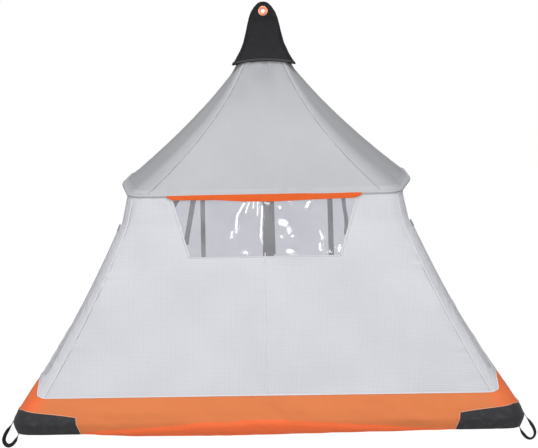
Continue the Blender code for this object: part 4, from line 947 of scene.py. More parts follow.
@dataclass
class Cloth:
    """A sheet laid over a grid of points, heights measured up from the rails' plane."""

    name: str
    points: np.ndarray
    wall: float = 0.0006
    offset: float = -1.0
    outward: tuple = (0.0, -1.0, 0.0)
    hole: Optional[np.ndarray] = None
    weld: bool = False
    # Share of painted shade at each point, for a finish with a shade tone.
    tint: Optional[np.ndarray] = None
    item: Optional[bpy.types.Object] = None
    flat: tuple = (0.0, 0.0)
    area: float = 0.0

    def measure(self) -> None:
        """Works out the flat size and area of the laid surface."""
        self.flat = (float(running(self.points)[:, -1].max()),
                     float(running(np.swapaxes(self.points, 0, 1))[:, -1].max()))
        up, across = np.diff(self.points, axis=0), np.diff(self.points, axis=1)
        halves = np.cross(up[:, :-1], across[:-1]), np.cross(up[:, 1:], across[1:])
        areas = sum(np.linalg.norm(half, axis=2) for half in halves) / 2
        if self.hole is not None:
            areas = np.where(self.hole, 0.0, areas)
        self.area = float(areas.sum())

    def lay(self, lift: Optional[np.ndarray] = None) -> "Cloth":
        """Builds the mesh from a plain grid.

        Args:
            lift: How far each point stands off the surface, in metres.

        Returns:
            This cloth, with its object.
        """
        self.measure()
        rows, columns = self.points.shape[:2]
        bpy.ops.object.select_all(action="DESELECT")
        bpy.ops.mesh.primitive_grid_add(x_subdivisions=columns - 1, y_subdivisions=rows - 1, size=2)
        item = bpy.context.object
        item.name = item.data.name = self.name
        share = (np.array([vert.co[:2] for vert in item.data.vertices]) + 1) / 2
        column, row = np.round(share * (columns - 1, rows - 1)).astype(int).T
        normals = grid_normals(self.points)
        facing = 1.0 if normals[rows // 2, columns // 2] @ self.outward >= 0 else -1.0
        laid = self.points - UP * HANG
        if lift is not None:
            laid = laid + normals * facing * lift[..., None]
        item.data.vertices.foreach_set("co", laid[row, column].astype(np.float32).ravel())
        self.map_cloth(item.data, row, column)
        # Stores the painted shade share as a point attribute for the finish to read.
        if self.tint is not None:
            shade = item.data.attributes.new("tint", "FLOAT", "POINT")
            shade.data.foreach_set("value", self.tint[row, column].astype(np.float32))
        if facing < 0:
            item.data.flip_normals()
        if self.hole is not None:
            self.cut(item, row, column)
        if self.weld:
            with editing(item):
                bpy.ops.mesh.remove_doubles(threshold=0.00002)
        item.data.update()
        sole_selection(item)
        modifier = item.modifiers.new("Solidify", "SOLIDIFY")
        modifier.thickness, modifier.offset = self.wall, self.offset
        bpy.ops.object.modifier_apply(modifier=modifier.name)
        smooth(item)
        self.item = item
        return self

    def map_cloth(self, mesh: bpy.types.Mesh, row: np.ndarray, column: np.ndarray) -> None:
        """Writes cloth coordinates in metres, measured from the middle column and the lower edge."""
        across = running(self.points)
        columns = self.points.shape[1]
        middle = columns // 2
        across = across - across[:, [(columns - 1) // 2, middle]].mean(axis=1, keepdims=True)
        up = running(self.points[:, middle])
        while mesh.uv_layers:
            mesh.uv_layers.remove(mesh.uv_layers[0])
        layer = mesh.uv_layers.new(name="cloth")
        corner = np.zeros(len(mesh.loops), int)
        mesh.loops.foreach_get("vertex_index", corner)
        places = np.stack([across[row[corner], column[corner]], up[row[corner]]], axis=1)
        layer.data.foreach_set("uv", places.astype(np.float32).ravel())

    def cut(self, item: bpy.types.Object, row: np.ndarray, column: np.ndarray) -> None:
        """Deletes the cells that the hole mask marks."""
        with editing(item, "DESELECT"):
            bpy.ops.mesh.select_mode(type="FACE")
        for face in item.data.polygons:
            corners = list(face.vertices)
            face.select = bool(self.hole[row[corners].min(), column[corners].min()])
        with editing(item, None):
            bpy.ops.mesh.delete(type="FACE")

    def dress(self, finish: str, slot: str, replaces: Sequence[str] = (), body: str = ROOT) -> None:
        """Gives the cloth its finish and its place on the frame."""
        seat(self.item, finish, body, replaces)

    def hold(self, finish: str, slot: str, node: str, *rests_on: str, held: Held = Held.STRETCHED,
             body: str = ROOT) -> None:
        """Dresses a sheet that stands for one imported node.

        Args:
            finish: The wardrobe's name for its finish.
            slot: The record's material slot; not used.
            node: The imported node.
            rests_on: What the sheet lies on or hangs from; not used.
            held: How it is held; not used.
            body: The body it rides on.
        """
        self.dress(finish, slot, [node], body)
        area = min(self.area, self.flat[0] * self.flat[1])


def strip(name: str, path: np.ndarray, facing: np.ndarray, *, width: float, wall: float,
          crown: float = 0.0, columns: int = 4, stand: object = 0.0) -> Cloth:
    """A narrow strip along a path, such as a tape, a binding or webbing.

    Args:
        name: The piece's name.
        path: Points along its middle.
        facing: Outward directions at those points.
        width: Its width.
        wall: Its thickness.
        crown: How far its middle stands above its edges.
        columns: Cells across it.
        stand: How far it stands off the path.

    Returns:
        The cloth, laid.
    """
    path = path + facing * stand
    along = unit(np.gradient(path, axis=0))
    side = unit(np.cross(along, facing))
    up = np.cross(side, along)
    share = np.linspace(-0.5, 0.5, columns + 1)[None, :, None]
    points = (path[:, None, :] + side[:, None, :] * share * width
              + up[:, None, :] * crown * (1 - (2 * share) ** 2))
    return Cloth(name, points, wall=wall, offset=0.0, outward=tuple(up[len(path) // 2])).lay()


@dataclass
class UpperFly:
    """The canopy above the brim: a front panel, two end panels in a darker grey that paints their
    shade, and their ridge seams.
    """

    shape: FlyShape
    columns: int = 110
    rows: int = 90
    seam_share: float = 0.0008

    def build(self) -> None:
        """Builds and dresses the panels and seams."""
        shape, seam = self.shape, self.seam_share
        for panel, finish, outward in (("front", "canopy", (0, -1, 0)),
                                       ("left", "canopy_side", (-1, 0, 0.3)),
                                       ("right", "canopy_side", (1, 0, 0.3))):
            across, up = np.meshgrid(np.linspace(seam, 1 - seam, self.columns + 1),
                                     np.linspace(0, 1, self.rows + 1))
            foot = shape.brim_z(shape.canopies[panel][1].at(across)[..., 1])
            down = (1 - BRIM_GAP / (shape.neck_z - foot)) * (1 - up)
            # Painted shade: each panel darkens towards the cap, where its finish has a shade tone.
            tint = fade(down, 0.0, 0.62) * (0.9 + 0.3 * soft_noise(across * 5, down * 7, 9))
            name = "upper_fly_" + panel
            cloth = Cloth(name + "_cloth", shape.canopy(panel, across, down), outward=outward,
                          tint=np.clip(tint, 0, 1)).lay(self.wrinkles(panel, across, down))
            cloth.hold(finish, "fly_canopy", name, "fly_pole")
        self.ridges()

    def wrinkles(self, panel: str, across: np.ndarray, down: np.ndarray) -> np.ndarray:
        """How far the cloth stands off: soft lengthwise furrows and puckers beside the seams."""
        seed = {"front": 3, "left": 5, "right": 7}[panel]
        edge = np.minimum(across, 1 - across)
        lift = soft_noise(across * 9, down * 2.2, seed) * 0.0016 * smooth_step(edge, 0.0, 0.12)
        lift += (soft_noise(down * 46, across * 3, seed + 1) * 0.0019 * np.exp(-edge / 0.045)
                 * smooth_step(edge, 0.0, 0.01))
        lift += (soft_noise(across * 34, down * 4, seed + 2) * 0.0012
                 * smooth_step(down, 0.86, 0.97) * fade(down, 0.985, 1.0))
        lift += soft_noise(across * 11, down * 5, seed + 3) * 0.0030 * fade(down, 0.05, 0.30)
        return lift * fade(1 - down, 0.97, 1.0)

    def ridges(self) -> None:
        """The felled seams down the two front ridges and the two wall ridges."""
        down = np.linspace(0.02, 0.985, 90)
        for side in Side:
            for row, across in ((Row.FRONT, 1.0 if side is Side.RIGHT else 0.0),
                                (Row.WALL, 0.007 if side is Side.RIGHT else 0.993)):
                panel = "front" if row is Row.FRONT else "wall"
                path = self.shape.canopy(panel, np.full_like(down, across), down)
                beside = self.shape.canopy(panel, np.full_like(down, abs(across - 0.02)), down)
                facing = np.cross(np.gradient(path, axis=0), beside - path)
                facing *= np.sign(facing[:, 1:2] * row.value)
                if row is Row.FRONT:
                    facing = unit(facing) + (side.value * 0.35, 0.0, 0.25)
                facing = unit(facing)
                strip(f"ridge_seam_{row.word}_{side.word}", path, facing, stand=0.0009, width=0.010,
                      wall=0.0008, crown=0.0003).dress("ridge_tape", "fly_canopy")


@dataclass
class LowerFly:
    """The skirt below the brim: front panel with its window opening, end panels, wall panel."""

    shape: FlyShape
    foot: float = FlyShape.band_top + SEWN
    crest: float = 0.978
    beside: int = 30
    over: int = 100

    def build(self) -> None:
        """Builds and dresses the panels and seams."""
        self.front()
        for side in Side:
            self.end(side)
        self.wall()
        self.seams()

    def front_grid(self) -> tuple:
        """Shares across and heights of the front panel, with lines along the window's edges."""
        shape = self.shape
        low, high = shape.window_bottom, shape.window_top
        heights = np.concatenate([np.linspace(self.foot, low, 76)[:-1], np.linspace(low, high, 27)[:-1],
                                  np.linspace(high, self.crest, 6)])
        held = np.clip(heights, low, high)
        run = shape.skirt_run(1 - held / shape.brim_z(shape.brim_front))
        half_length = shape.brim_front_half * (1 - run) + shape.seam_x * run
        stop = (0.5 - shape.window_half(held) / (2 * half_length))[:, None]
        side, middle = np.linspace(0, 1, self.beside + 1), np.linspace(0, 1, self.over + 1)
        across = np.hstack([side[:-1] * stop, stop + middle * (1 - 2 * stop),
                            1 - side[::-1][1:] * stop])
        return np.clip(across, 0.0005, 0.9995), np.repeat(heights[:, None], across.shape[1], axis=1)

    def front_relief(self, x: np.ndarray, across: np.ndarray, height: np.ndarray) -> np.ndarray:
        """How far the front panel stands off: broad swells, and puckers beside its seams."""
        edge = np.minimum(across, 1 - across)
        bottom = self.shape.window_bottom
        beside = np.maximum(np.abs(x) - self.shape.window_half(height), 0)
        lift = soft_noise(across * 7, height * 2.5, 11) * 0.0046 * smooth_step(edge, 0.0, 0.15)
        lift += soft_noise(x * 22, height * 5, 12) * 0.0012
        lift += soft_noise(height * 42, across * 5, 13) * 0.0026 * np.exp(-edge / 0.03)
        lift += (soft_noise(x * 38, height * 8, 14) * 0.0012 * np.exp(-np.abs(height - bottom) / 0.025)
                 * (np.abs(x) < 0.36))
        lift += (soft_noise(height * 44, x * 5, 15) * 0.0010 * np.exp(-np.abs(x) / 0.02)
                 * (height < 0.72))
        lift *= smooth_step(np.hypot(beside, np.maximum(bottom - height, 0)), 0.0, 0.05)
        return lift * fade(height, 0.93, 0.96) * smooth_step(height, self.foot, 0.16)

    def front(self) -> None:
        """The front panel; the cells inside the window are cut away."""
        across, height = self.front_grid()
        crest = self.shape.brim_z(self.shape.skirts["front"][0].at(across)[..., 1]) - BRIM_GAP
        height = np.minimum(height, crest - (self.crest - height) * 0.2)
        points = self.shape.skirt_at("front", across, height)
        cell = (height[:-1, :-1] + height[1:, 1:]) / 2
        inside = (cell > self.shape.window_bottom) & (cell < self.shape.window_top)
        inside[:, :self.beside] = inside[:, self.beside + self.over:] = False
        lift = self.front_relief(points[..., 0], across, height)
        Cloth("lower_fly_front_cloth", points, hole=inside).lay(lift).hold(
            "light", "fly_light", "lower_fly_front", "fly_pole")

    def end(self, side: Side) -> None:
        """An end panel, hollow between the brim and the band, puckered along its zip."""
        panel = side.word
        columns = np.concatenate([np.linspace(0, 0.2, 31)[:-1], np.linspace(0.2, 1, 71)])
        across, up = np.meshgrid(columns, np.linspace(0, 1, 91))
        across = np.clip(across, 0.0006, 0.9994)
        if side is Side.LEFT:
            across = 1 - across[:, ::-1]
        top, bottom = self.shape.skirts[panel]
        foot = self.shape.band_edge(bottom.at(across)) + SEWN
        crest = self.shape.brim_z(top.at(across)[..., 1]) - BRIM_GAP
        height = foot + (crest - foot) * up
        points = self.shape.skirt_at(panel, across, height)
        from_front = across if side is Side.RIGHT else 1 - across
        from_zip = np.abs(from_front - self.shape.zip_share)
        seed = 20 if side is Side.RIGHT else 30
        lift = soft_noise(from_front * 8, up * 3, seed) * 0.0040 * smooth_step(from_front, 0.12, 0.3)
        lift += (soft_noise(from_front * 22, up * 9, seed + 1) * 0.0015
                 * smooth_step(from_front, 0.13, 0.22))
        lift += (soft_noise(up * 44, from_front * 14, seed + 2) * 0.0040 * np.exp(-from_zip / 0.06)
                 * smooth_step(from_zip, 0.022, 0.045))
        edge = np.minimum(from_front, 1 - from_front)
        lift *= smooth_step(up, 0.0, 0.05) * fade(up, 0.965, 1.0) * smooth_step(edge, 0.0, 0.015)
        name = "lower_fly_" + panel
        Cloth(name + "_cloth", points, outward=(side.value, 0, 0.2)).lay(lift).hold(
            "light", "fly_light", name, "fly_pole")

    def wall(self) -> None:
        """The panel that faces the wall, one cloth from the cap down to the band."""
        shape, columns = self.shape, np.linspace(0.0006, 0.9994, 121)
        across, height = np.meshgrid(columns, np.linspace(self.foot, shape.brim_z(shape.brim_wall), 70))
        above, down = np.meshgrid(columns, np.linspace(1, 0, 56)[1:])
        points = np.vstack([shape.skirt_at("wall", across, height), shape.canopy("wall", above, down)])
        across, up = np.meshgrid(columns, np.linspace(0, 1, len(points)))
        edge = np.minimum(across, 1 - across)
        lift = soft_noise(across * 8, up * 7, 41) * 0.0035 * smooth_step(edge, 0.0, 0.12)
        lift += soft_noise(up * 60, across * 6, 42) * 0.0014 * np.exp(-edge / 0.03)
        lift *= smooth_step(up, 0.0, 0.04) * fade(up, 0.93, 1.0) * smooth_step(edge, 0.0, 0.012)
        Cloth("wall_panel_cloth", points, outward=(0, 1, 0.2)).lay(lift).hold(
            "wall", "fly_light", "wall_panel", "apex_cap")

    def seams(self) -> None:
        """The centre seam, the corner seams and the pale tape over the band's edge."""
        shape = self.shape
        height = np.linspace(0.728, 0.126, 80)
        middle = spread(0.0, shape.front_y(height), height)
        facing = unit(np.repeat([[0.0, -1.0, 0.25]], len(height), axis=0))
        stand = self.front_relief(height * 0, height * 0 + 0.5, height)[:, None] + 0.0006
        strip("centre_seam", middle, facing, stand=stand, width=0.005, wall=0.0005,
              crown=0.0003).dress("plain_tape", "fly_light")
        down = np.linspace(0.012, 0.8768, 110)
        for side in Side:
            for row in Row:
                panel = "front" if row is Row.FRONT else "wall"
                across = 0.0 if (side is Side.RIGHT) != (row is Row.FRONT) else 1.0
                across = across if row is Row.FRONT else abs(across - 0.005)
                path = shape.skirt(panel, np.full_like(down, across), down)
                turned = 0.55 if row is Row.FRONT else 0.1
                facing = unit(np.array([side.value * turned, row.value * 0.80, 0.25]))
                facing = np.repeat([facing], len(down), axis=0)
                strip(f"corner_seam_{row.word}_{side.word}", path, facing, stand=0.0012, width=0.009,
                      wall=0.0008, crown=0.0008).dress("tape", "fly_light")
        self.band_tape()

    def band_tape(self) -> None:
        """The narrow pale tape over the join of grey and orange cloth, all the way round."""
        shape = self.shape
        distance = np.linspace(0, shape.base.length, 900)
        edge = shape.band_edge(shape.base.at(distance))
        path = shape.band(distance, edge + 0.0025)
        above = shape.band(distance, edge + 0.012)
        outward = with_z(shape.base.outward(distance), 0.0)
        slope = unit(above - path)
        facing = unit(outward - slope * (outward * slope).sum(axis=1, keepdims=True))
        strip("band_tape", path, facing, stand=0.0014, width=0.006, wall=0.0009, crown=0.0003,
              columns=2).dress("tape", "fly_light")


@dataclass
class Brim:
    """The sleeve round the brim's pole, with its sewn edge up the canopy."""

    shape: FlyShape
    radius: float = 0.0068
    hem: float = 0.016
    end_gap: float = 0.002

    def build(self) -> None:
        """Builds the sleeve as a drop-shaped tube along the brim."""
        shape = self.shape
        ends = Stretch(shape.brim, mirrored(shape.wall_seam) + [shape.wall_seam]).places
        distance = np.linspace(ends[0] + self.end_gap, ends[1] - self.end_gap, 520)
        spot = shape.brim.at(distance)
        centre = with_z(spot, shape.brim_z(spot[:, 1]))
        outward = with_z(shape.brim.outward(distance), 0.0)
        pucker = soft_noise(distance * 30, distance * 0, 51) * 0.0004
        points = [self.over_canopy(distance, self.radius + self.hem * share)
                  for share in (1.0, 0.66, 0.33)]
        for angle in np.radians(np.linspace(112, -202, 25)):
            away = (self.radius + pucker * max(0.0, math.cos(angle) + 0.4))[:, None]
            points.append(centre + (outward * math.cos(angle) + UP * math.sin(angle)) * away)
        Cloth("brim_sleeve_cloth", np.array(points), wall=0.0008).lay().hold(
            "sleeve", "fly_light", "brim_sleeve", "fly_pole")

    def over_canopy(self, distance: np.ndarray, rise: float) -> np.ndarray:
        """Points on the canopy a little above the brim, just proud of the cloth.

        Args:
            distance: Places along the brim's outline.
            rise: Height above the brim.

        Returns:
            One point for each place.
        """
        shape = self.shape
        spots = np.zeros(distance.shape + (3,))
        for panel, (_, bottom, _, _) in shape.canopies.items():
            first, last = bottom.places[0], bottom.places[-1]
            share = ((distance - first) % shape.brim.length) / (last - first)
            pick = share <= 1.0
            if pick.any():
                foot = shape.brim_z(bottom.at(share[pick])[..., 1])
                spots[pick] = shape.canopy(panel, share[pick], 1 - rise / (shape.neck_z - foot))
        return spots + with_z(shape.brim.outward(distance), 0.6) * 0.0010


@dataclass
class Window:
    """The clear pane, its sewn border and the rain flap over its top edge."""

    shape: FlyShape
    flap_half: float = 0.432
    flap_top: float = 0.985
    flap_height: float = 0.033
    hinge_y: float = -0.42725
    slope: float = 0.27
    creases: tuple = (
        (((-0.070, 0.961), (-0.092, 0.925), (-0.112, 0.890), (-0.118, 0.850), (-0.122, 0.815)), 0.0135),
        (((-0.058, 0.961), (-0.074, 0.915), (-0.080, 0.890)), 0.0095),
        (((-0.042, 0.961), (-0.046, 0.915)), 0.0080),
        (((-0.026, 0.961), (-0.026, 0.905), (-0.030, 0.885)), 0.0080),
        (((-0.004, 0.961), (-0.006, 0.880), (-0.012, 0.800), (-0.004, 0.760)), 0.0100),
        (((0.248, 0.825), (0.262, 0.790), (0.250, 0.752), (0.262, 0.718)), 0.0145),
        (((0.214, 0.961), (0.190, 0.912)), 0.0160),
        (((0.112, 0.961), (0.120, 0.922)), 0.0150),
        (((-0.140, 0.830), (-0.142, 0.785)), 0.0110))
    dimples: tuple = (
        (0.082, 0.858, 0.030, 0.018), (0.108, 0.826, 0.011, 0.022), (0.074, 0.796, 0.009, 0.008),
        (0.122, 0.798, 0.009, 0.008), (0.068, 0.926, 0.012, 0.009), (0.330, 0.742, 0.014, 0.018),
        (0.008, 0.946, 0.026, 0.009), (0.112, 0.730, 0.026, 0.013), (-0.086, 0.729, 0.018, 0.011),
        (0.288, 0.728, 0.010, 0.009))

    def build(self) -> None:
        """Builds and dresses the pane, its border and the flap."""
        self.pane()
        self.border()
        self.flap()

    def pane(self) -> None:
        """The creased film."""
        shape = self.shape
        across, up = np.meshgrid(np.linspace(-1, 1, 421), np.linspace(0, 1, 101))
        low, high = shape.window_bottom + SEWN, shape.window_top - SEWN
        height = low + (high - low) * up
        x = across * (shape.window_half(height) - SEWN)
        points = spread(x, shape.front_y(height), height)
        edge = np.minimum(1 - np.abs(across), np.minimum(up, 1 - up) * 0.6)
        lift = soft_noise(x * 7 + 3, height * 4, 61) * 0.0016
        lift += soft_noise(x * 17, height * 6, 62) * 0.0004
        for crease in self.creases:
            lift += self.crease(x, height, *crease)
        for x_0, z_0, half_x, half_z in self.dimples:
            away = np.hypot((x - x_0) / half_x, (height - z_0) / half_z)
            lift -= self.slope * (x - x_0) * fade(away, 0.8, 1.2)
        lift = (lift - 0.0012) * smooth_step(edge, 0.0, 0.03)
        Cloth("window_film", points, wall=0.0005).lay(lift).hold(
            "film", "film", "window_pane", "lower_fly_front_cloth")

    def crease(self, x: np.ndarray, height: np.ndarray, knots: Sequence[tuple],
               width: float) -> np.ndarray:
        """A ridge with straight slopes along a line, steeper on its right, fading at its ends.

        Args:
            x: The points' places along the window.
            height: Their heights.
            knots: The crease's course as (x, height).
            width: Width of the ridge's left side.

        Returns:
            How far each point stands off.
        """
        route = smooth_route(knots, 40)
        away = np.full(x.shape, 9.0)
        along = np.zeros(x.shape)
        lit = np.zeros(x.shape, bool)
        for index, (x_0, z_0) in enumerate(route):
            gap = np.hypot(x - x_0, height - z_0)
            closer = gap < away
            away = np.where(closer, gap, away)
            along = np.where(closer, index / 39, along)
            lit = np.where(closer, x < x_0, lit)
        reach = width * np.sqrt(np.clip(np.minimum(along, 1 - along) * 6 + 0.2, 0, 1))
        return self.slope * np.maximum(0.0, reach - np.where(lit, away, away * 2.6))

    def border(self) -> None:
        """The narrow seam round three sides of the pane."""
        shape = self.shape
        low, high = shape.window_bottom - 0.003, shape.window_top - 0.002
        right = ((shape.window_half(low) + 0.002, low), (shape.window_half(high) + 0.003, high))
        corners = np.array(mirrored(*right) + list(right))
        x, height = (np.interp(np.arange(181) / 60, range(4), values) for values in corners.T)
        facing = np.repeat([[0.0, -0.98, 0.2]], len(x), axis=0)
        path = spread(x, shape.front_y(height), height)
        strip("window_border", path, facing, stand=0.0005, width=0.005, wall=0.0005, crown=0.0002,
              columns=2).dress("plain_tape", "fly_light")

    def flap(self) -> None:
        """The orange flap, sewn along its top edge, its free edge slightly wavy."""
        shape = self.shape
        across, up = np.meshgrid(np.linspace(-1, 1, 161), np.linspace(0, 1, 17))
        fall = np.interp(across, (-1, -0.94, -0.5, -0.2, 0.12, 0.5, 0.92, 1),
                         (0.3, 0.62, 0.68, 0.96, 1, 0.84, 0.70, 0.3))
        drop = (1 - up) * self.flap_height * fall
        foot_y = float(shape.front_y(self.flap_top - self.flap_height)) - 0.0024
        lean = (foot_y - self.hinge_y) / self.flap_height
        sag = 0.0016 * soft_noise(across * 3.2 + 9, across * 0, 73)
        points = spread(across * self.flap_half, self.hinge_y + drop * lean,
                        self.flap_top - drop + sag * up)
        lift = (0.0006 + soft_noise(across * 14, up * 2, 72) * 0.0012) * (1 - up) ** 1.2
        Cloth("storm_flap_cloth", points, wall=0.0010, offset=0.0).lay(lift).hold(
            "flap", "fly_orange", "storm_flap", "lower_fly_front_cloth", held=Held.HUNG, body="flap")


@dataclass
class HemBand:
    """The orange band round the foot of the fly, its corner patches and tie-down loops."""

    shape: FlyShape
    patch_reach: float = 0.290
    patch_top: float = 0.070
    patch_top_end: float = 0.040
    patch_outset: float = 0.0017
    slant: float = 0.10
    loop_width: float = 0.020
    loop_wall: float = 0.0020
    loop_twist: float = 42.0
    loop_steps: int = 70
    sag: float = 0.016
    tuck: float = 0.0004
    fold_depth: float = 0.0055

    def build(self) -> None:
        """Builds and dresses the band, patches and loops."""
        self.band()
        for row in Row:
            for side in Side:
                self.patch(row, side)
                self.loop(row, side)

    def corner(self, row: Row, side: Side) -> float:
        """Middle of a base corner, as a distance along the base."""
        shape = self.shape
        return shape.base.locate(side.value * (shape.base_half_length - shape.corner_cut),
                                 row.value * (shape.base_half_depth - shape.corner_cut))

    def band(self) -> None:
        """The band itself, with slack folds at the corners and a crescent in the middle."""
        shape = self.shape
        length = shape.base.length
        around, rise = np.meshgrid(np.linspace(0, length, 1101), np.linspace(0, 1, 25))
        spot = shape.base.at(around)
        x = spot[..., 0]
        near = np.min([np.abs((around - self.corner(row, side) + length / 2) % length - length / 2)
                       for row in Row for side in Side], axis=0)
        sag = np.exp(-((x + 0.25) / 0.65) ** 2) * (spot[..., 1] < 0) * smooth_step(near, 0.30, 0.50)
        crease, turn = shape.band_crease, 0.4
        low, edge = -shape.hem_drop - self.sag * sag, shape.band_edge(spot) - self.tuck
        height = np.where(rise < turn, low + (crease - low) * rise / turn,
                          crease + (edge - crease) * (rise - turn) / (1 - turn))
        points = shape.band(around, height)
        shut = np.clip(1 - np.abs(rise - 0.62) / 0.38, 0, 1)
        lift = (soft_noise(around * 16 + rise * 2.5, rise * 3, 81) * 0.0042
                * smooth_step(near, 0.30, 0.42) * shut)
        lift += soft_noise(around * 42, rise * 4, 82) * 0.0011 * shut * smooth_step(near, 0.30, 0.36)
        lift += (soft_noise(around * 30, height * 30, 83) * 0.0026 * fade(near, 0.06, 0.16)
                 * smooth_step(height, 0.078, 0.105) * fade(rise, 0.93, 0.99))
        lift += (soft_noise(around * 24, rise * 2, 84) * 0.0014 * fade(rise, 0.25, 0.4)
                 * smooth_step(near, 0.30, 0.36))
        fold = -0.030 + 0.048 * np.cos(np.clip((x + 0.04) / 0.92, -1, 1) * math.pi / 2) ** 2
        under = fold + 0.003 * soft_noise(around * 9, around * 0, 85) - height
        lift -= (self.fold_depth * smooth_step(under, 0.0, 0.022) * smooth_step(near, 0.30, 0.40)
                 * smooth_step(height, -0.050, -0.030))
        # Painted shade: the band darkens below the crescent where it turns under, and in the folds at
        # the corners.
        corner = fade(near, 0.03, 0.13) * (0.7 + 0.3 * soft_noise(around * 22, height * 12, 86))
        tint = np.maximum(smooth_step(under, -0.002, 0.004) * smooth_step(near, 0.26, 0.34), corner)
        Cloth("hem_band_cloth", points, weld=True, tint=np.clip(tint, 0, 1)).lay(lift).hold(
            "orange", "fly_orange", "hem_band", "lower_fly_front_cloth")

    def patch(self, row: Row, side: Side) -> None:
        """A black corner patch with its bound top and slanted ends."""
        shape = self.shape
        share, up = np.meshgrid(np.linspace(-1, 1, 121), np.linspace(0, 1, 29))
        away = np.abs(share)
        top, low = self.patch_top + (self.patch_top_end - self.patch_top) * away, -shape.hem_drop
        height = low + (top - low) * up
        drawn = self.slant * up * np.maximum(away - 0.6, 0) / 0.4
        along = self.corner(row, side) + share * self.patch_reach * (1 - drawn)
        points = shape.band(along, height, self.patch_outset)
        seed = 90 + 10 * row.value + side.value
        lift = np.abs(soft_noise(along * 26, height * 34, seed)) * 0.0016
        lift += soft_noise(along * 9, height * 14, seed + 1) * 0.0010 + 0.0006
        lift *= smooth_step(1 - away, 0.0, 0.10) * smooth_step(1 - up, 0.0, 0.2)
        name = f"corner_patch_{row.word}_{side.word}"
        outward = (side.value, row.value, 0.1)
        Cloth(name + "_cloth", points, wall=0.0010, outward=outward).lay(lift).hold(
            "patch", "black_cloth", name, "hem_band_cloth")
        rim, places = (np.concatenate([grid[:, 0], grid[-1, 1:-1], grid[::-1, -1]])
                       for grid in (points, along))
        facing = unit(with_z(shape.base.outward(places), 0.12))
        strip(f"patch_binding_{row.word}_{side.word}", rim, facing, stand=0.0012, width=0.0036,
              wall=0.0009, crown=0.0003, columns=2).dress("binding", "fly_orange")

    def loop(self, row: Row, side: Side) -> None:
        """A webbing loop sewn to the patch outside and inside the hem, hanging out and down."""
        shape = self.shape
        depth = shape.base_half_depth - shape.base_corner - 0.004 - self.loop_width / 2
        place = np.array([shape.base.locate(side.value * shape.base_half_length, row.value * depth)])
        skin = shape.band(place, np.array([shape.band_crease]), self.patch_outset)[0]
        beside = self.loop_wall / 2 + 0.0003
        inside = -self.patch_outset - shape.hem_inset - 0.0008 - beside
        route = ((beside, shape.band_crease), (beside + 0.004, 0.004), (0.016, -0.013),
                 (0.031, -0.034), (0.045, -0.058), (0.051, -0.080), (0.044, -0.099),
                 (0.029, -0.106), (0.012, -0.098), (-0.003, -0.080), (-0.013, -0.061),
                 (inside + 0.001, -0.047), (inside, -shape.hem_drop), (inside, -0.024))
        away, height = smooth_route(route, self.loop_steps).T
        path = spread(skin[0] + side.value * away, row.value * depth, height)
        along = unit(np.gradient(path, axis=0))
        facing = unit(np.cross(along, BACK) * -side.value)
        step = np.linspace(0, 1, self.loop_steps)
        turn = (math.radians(self.loop_twist) * smooth_step(step, 0.08, 0.26)
                * fade(step, 0.72, 0.88))
        facing = facing * np.cos(turn)[:, None] + np.cross(along, facing) * np.sin(turn)[:, None]
        name = f"tie_down_loop_{row.word}_{side.word}"
        strip(name + "_webbing", path, facing, width=self.loop_width, wall=self.loop_wall,
              crown=0.0003).dress("loop", "webbing", [name])


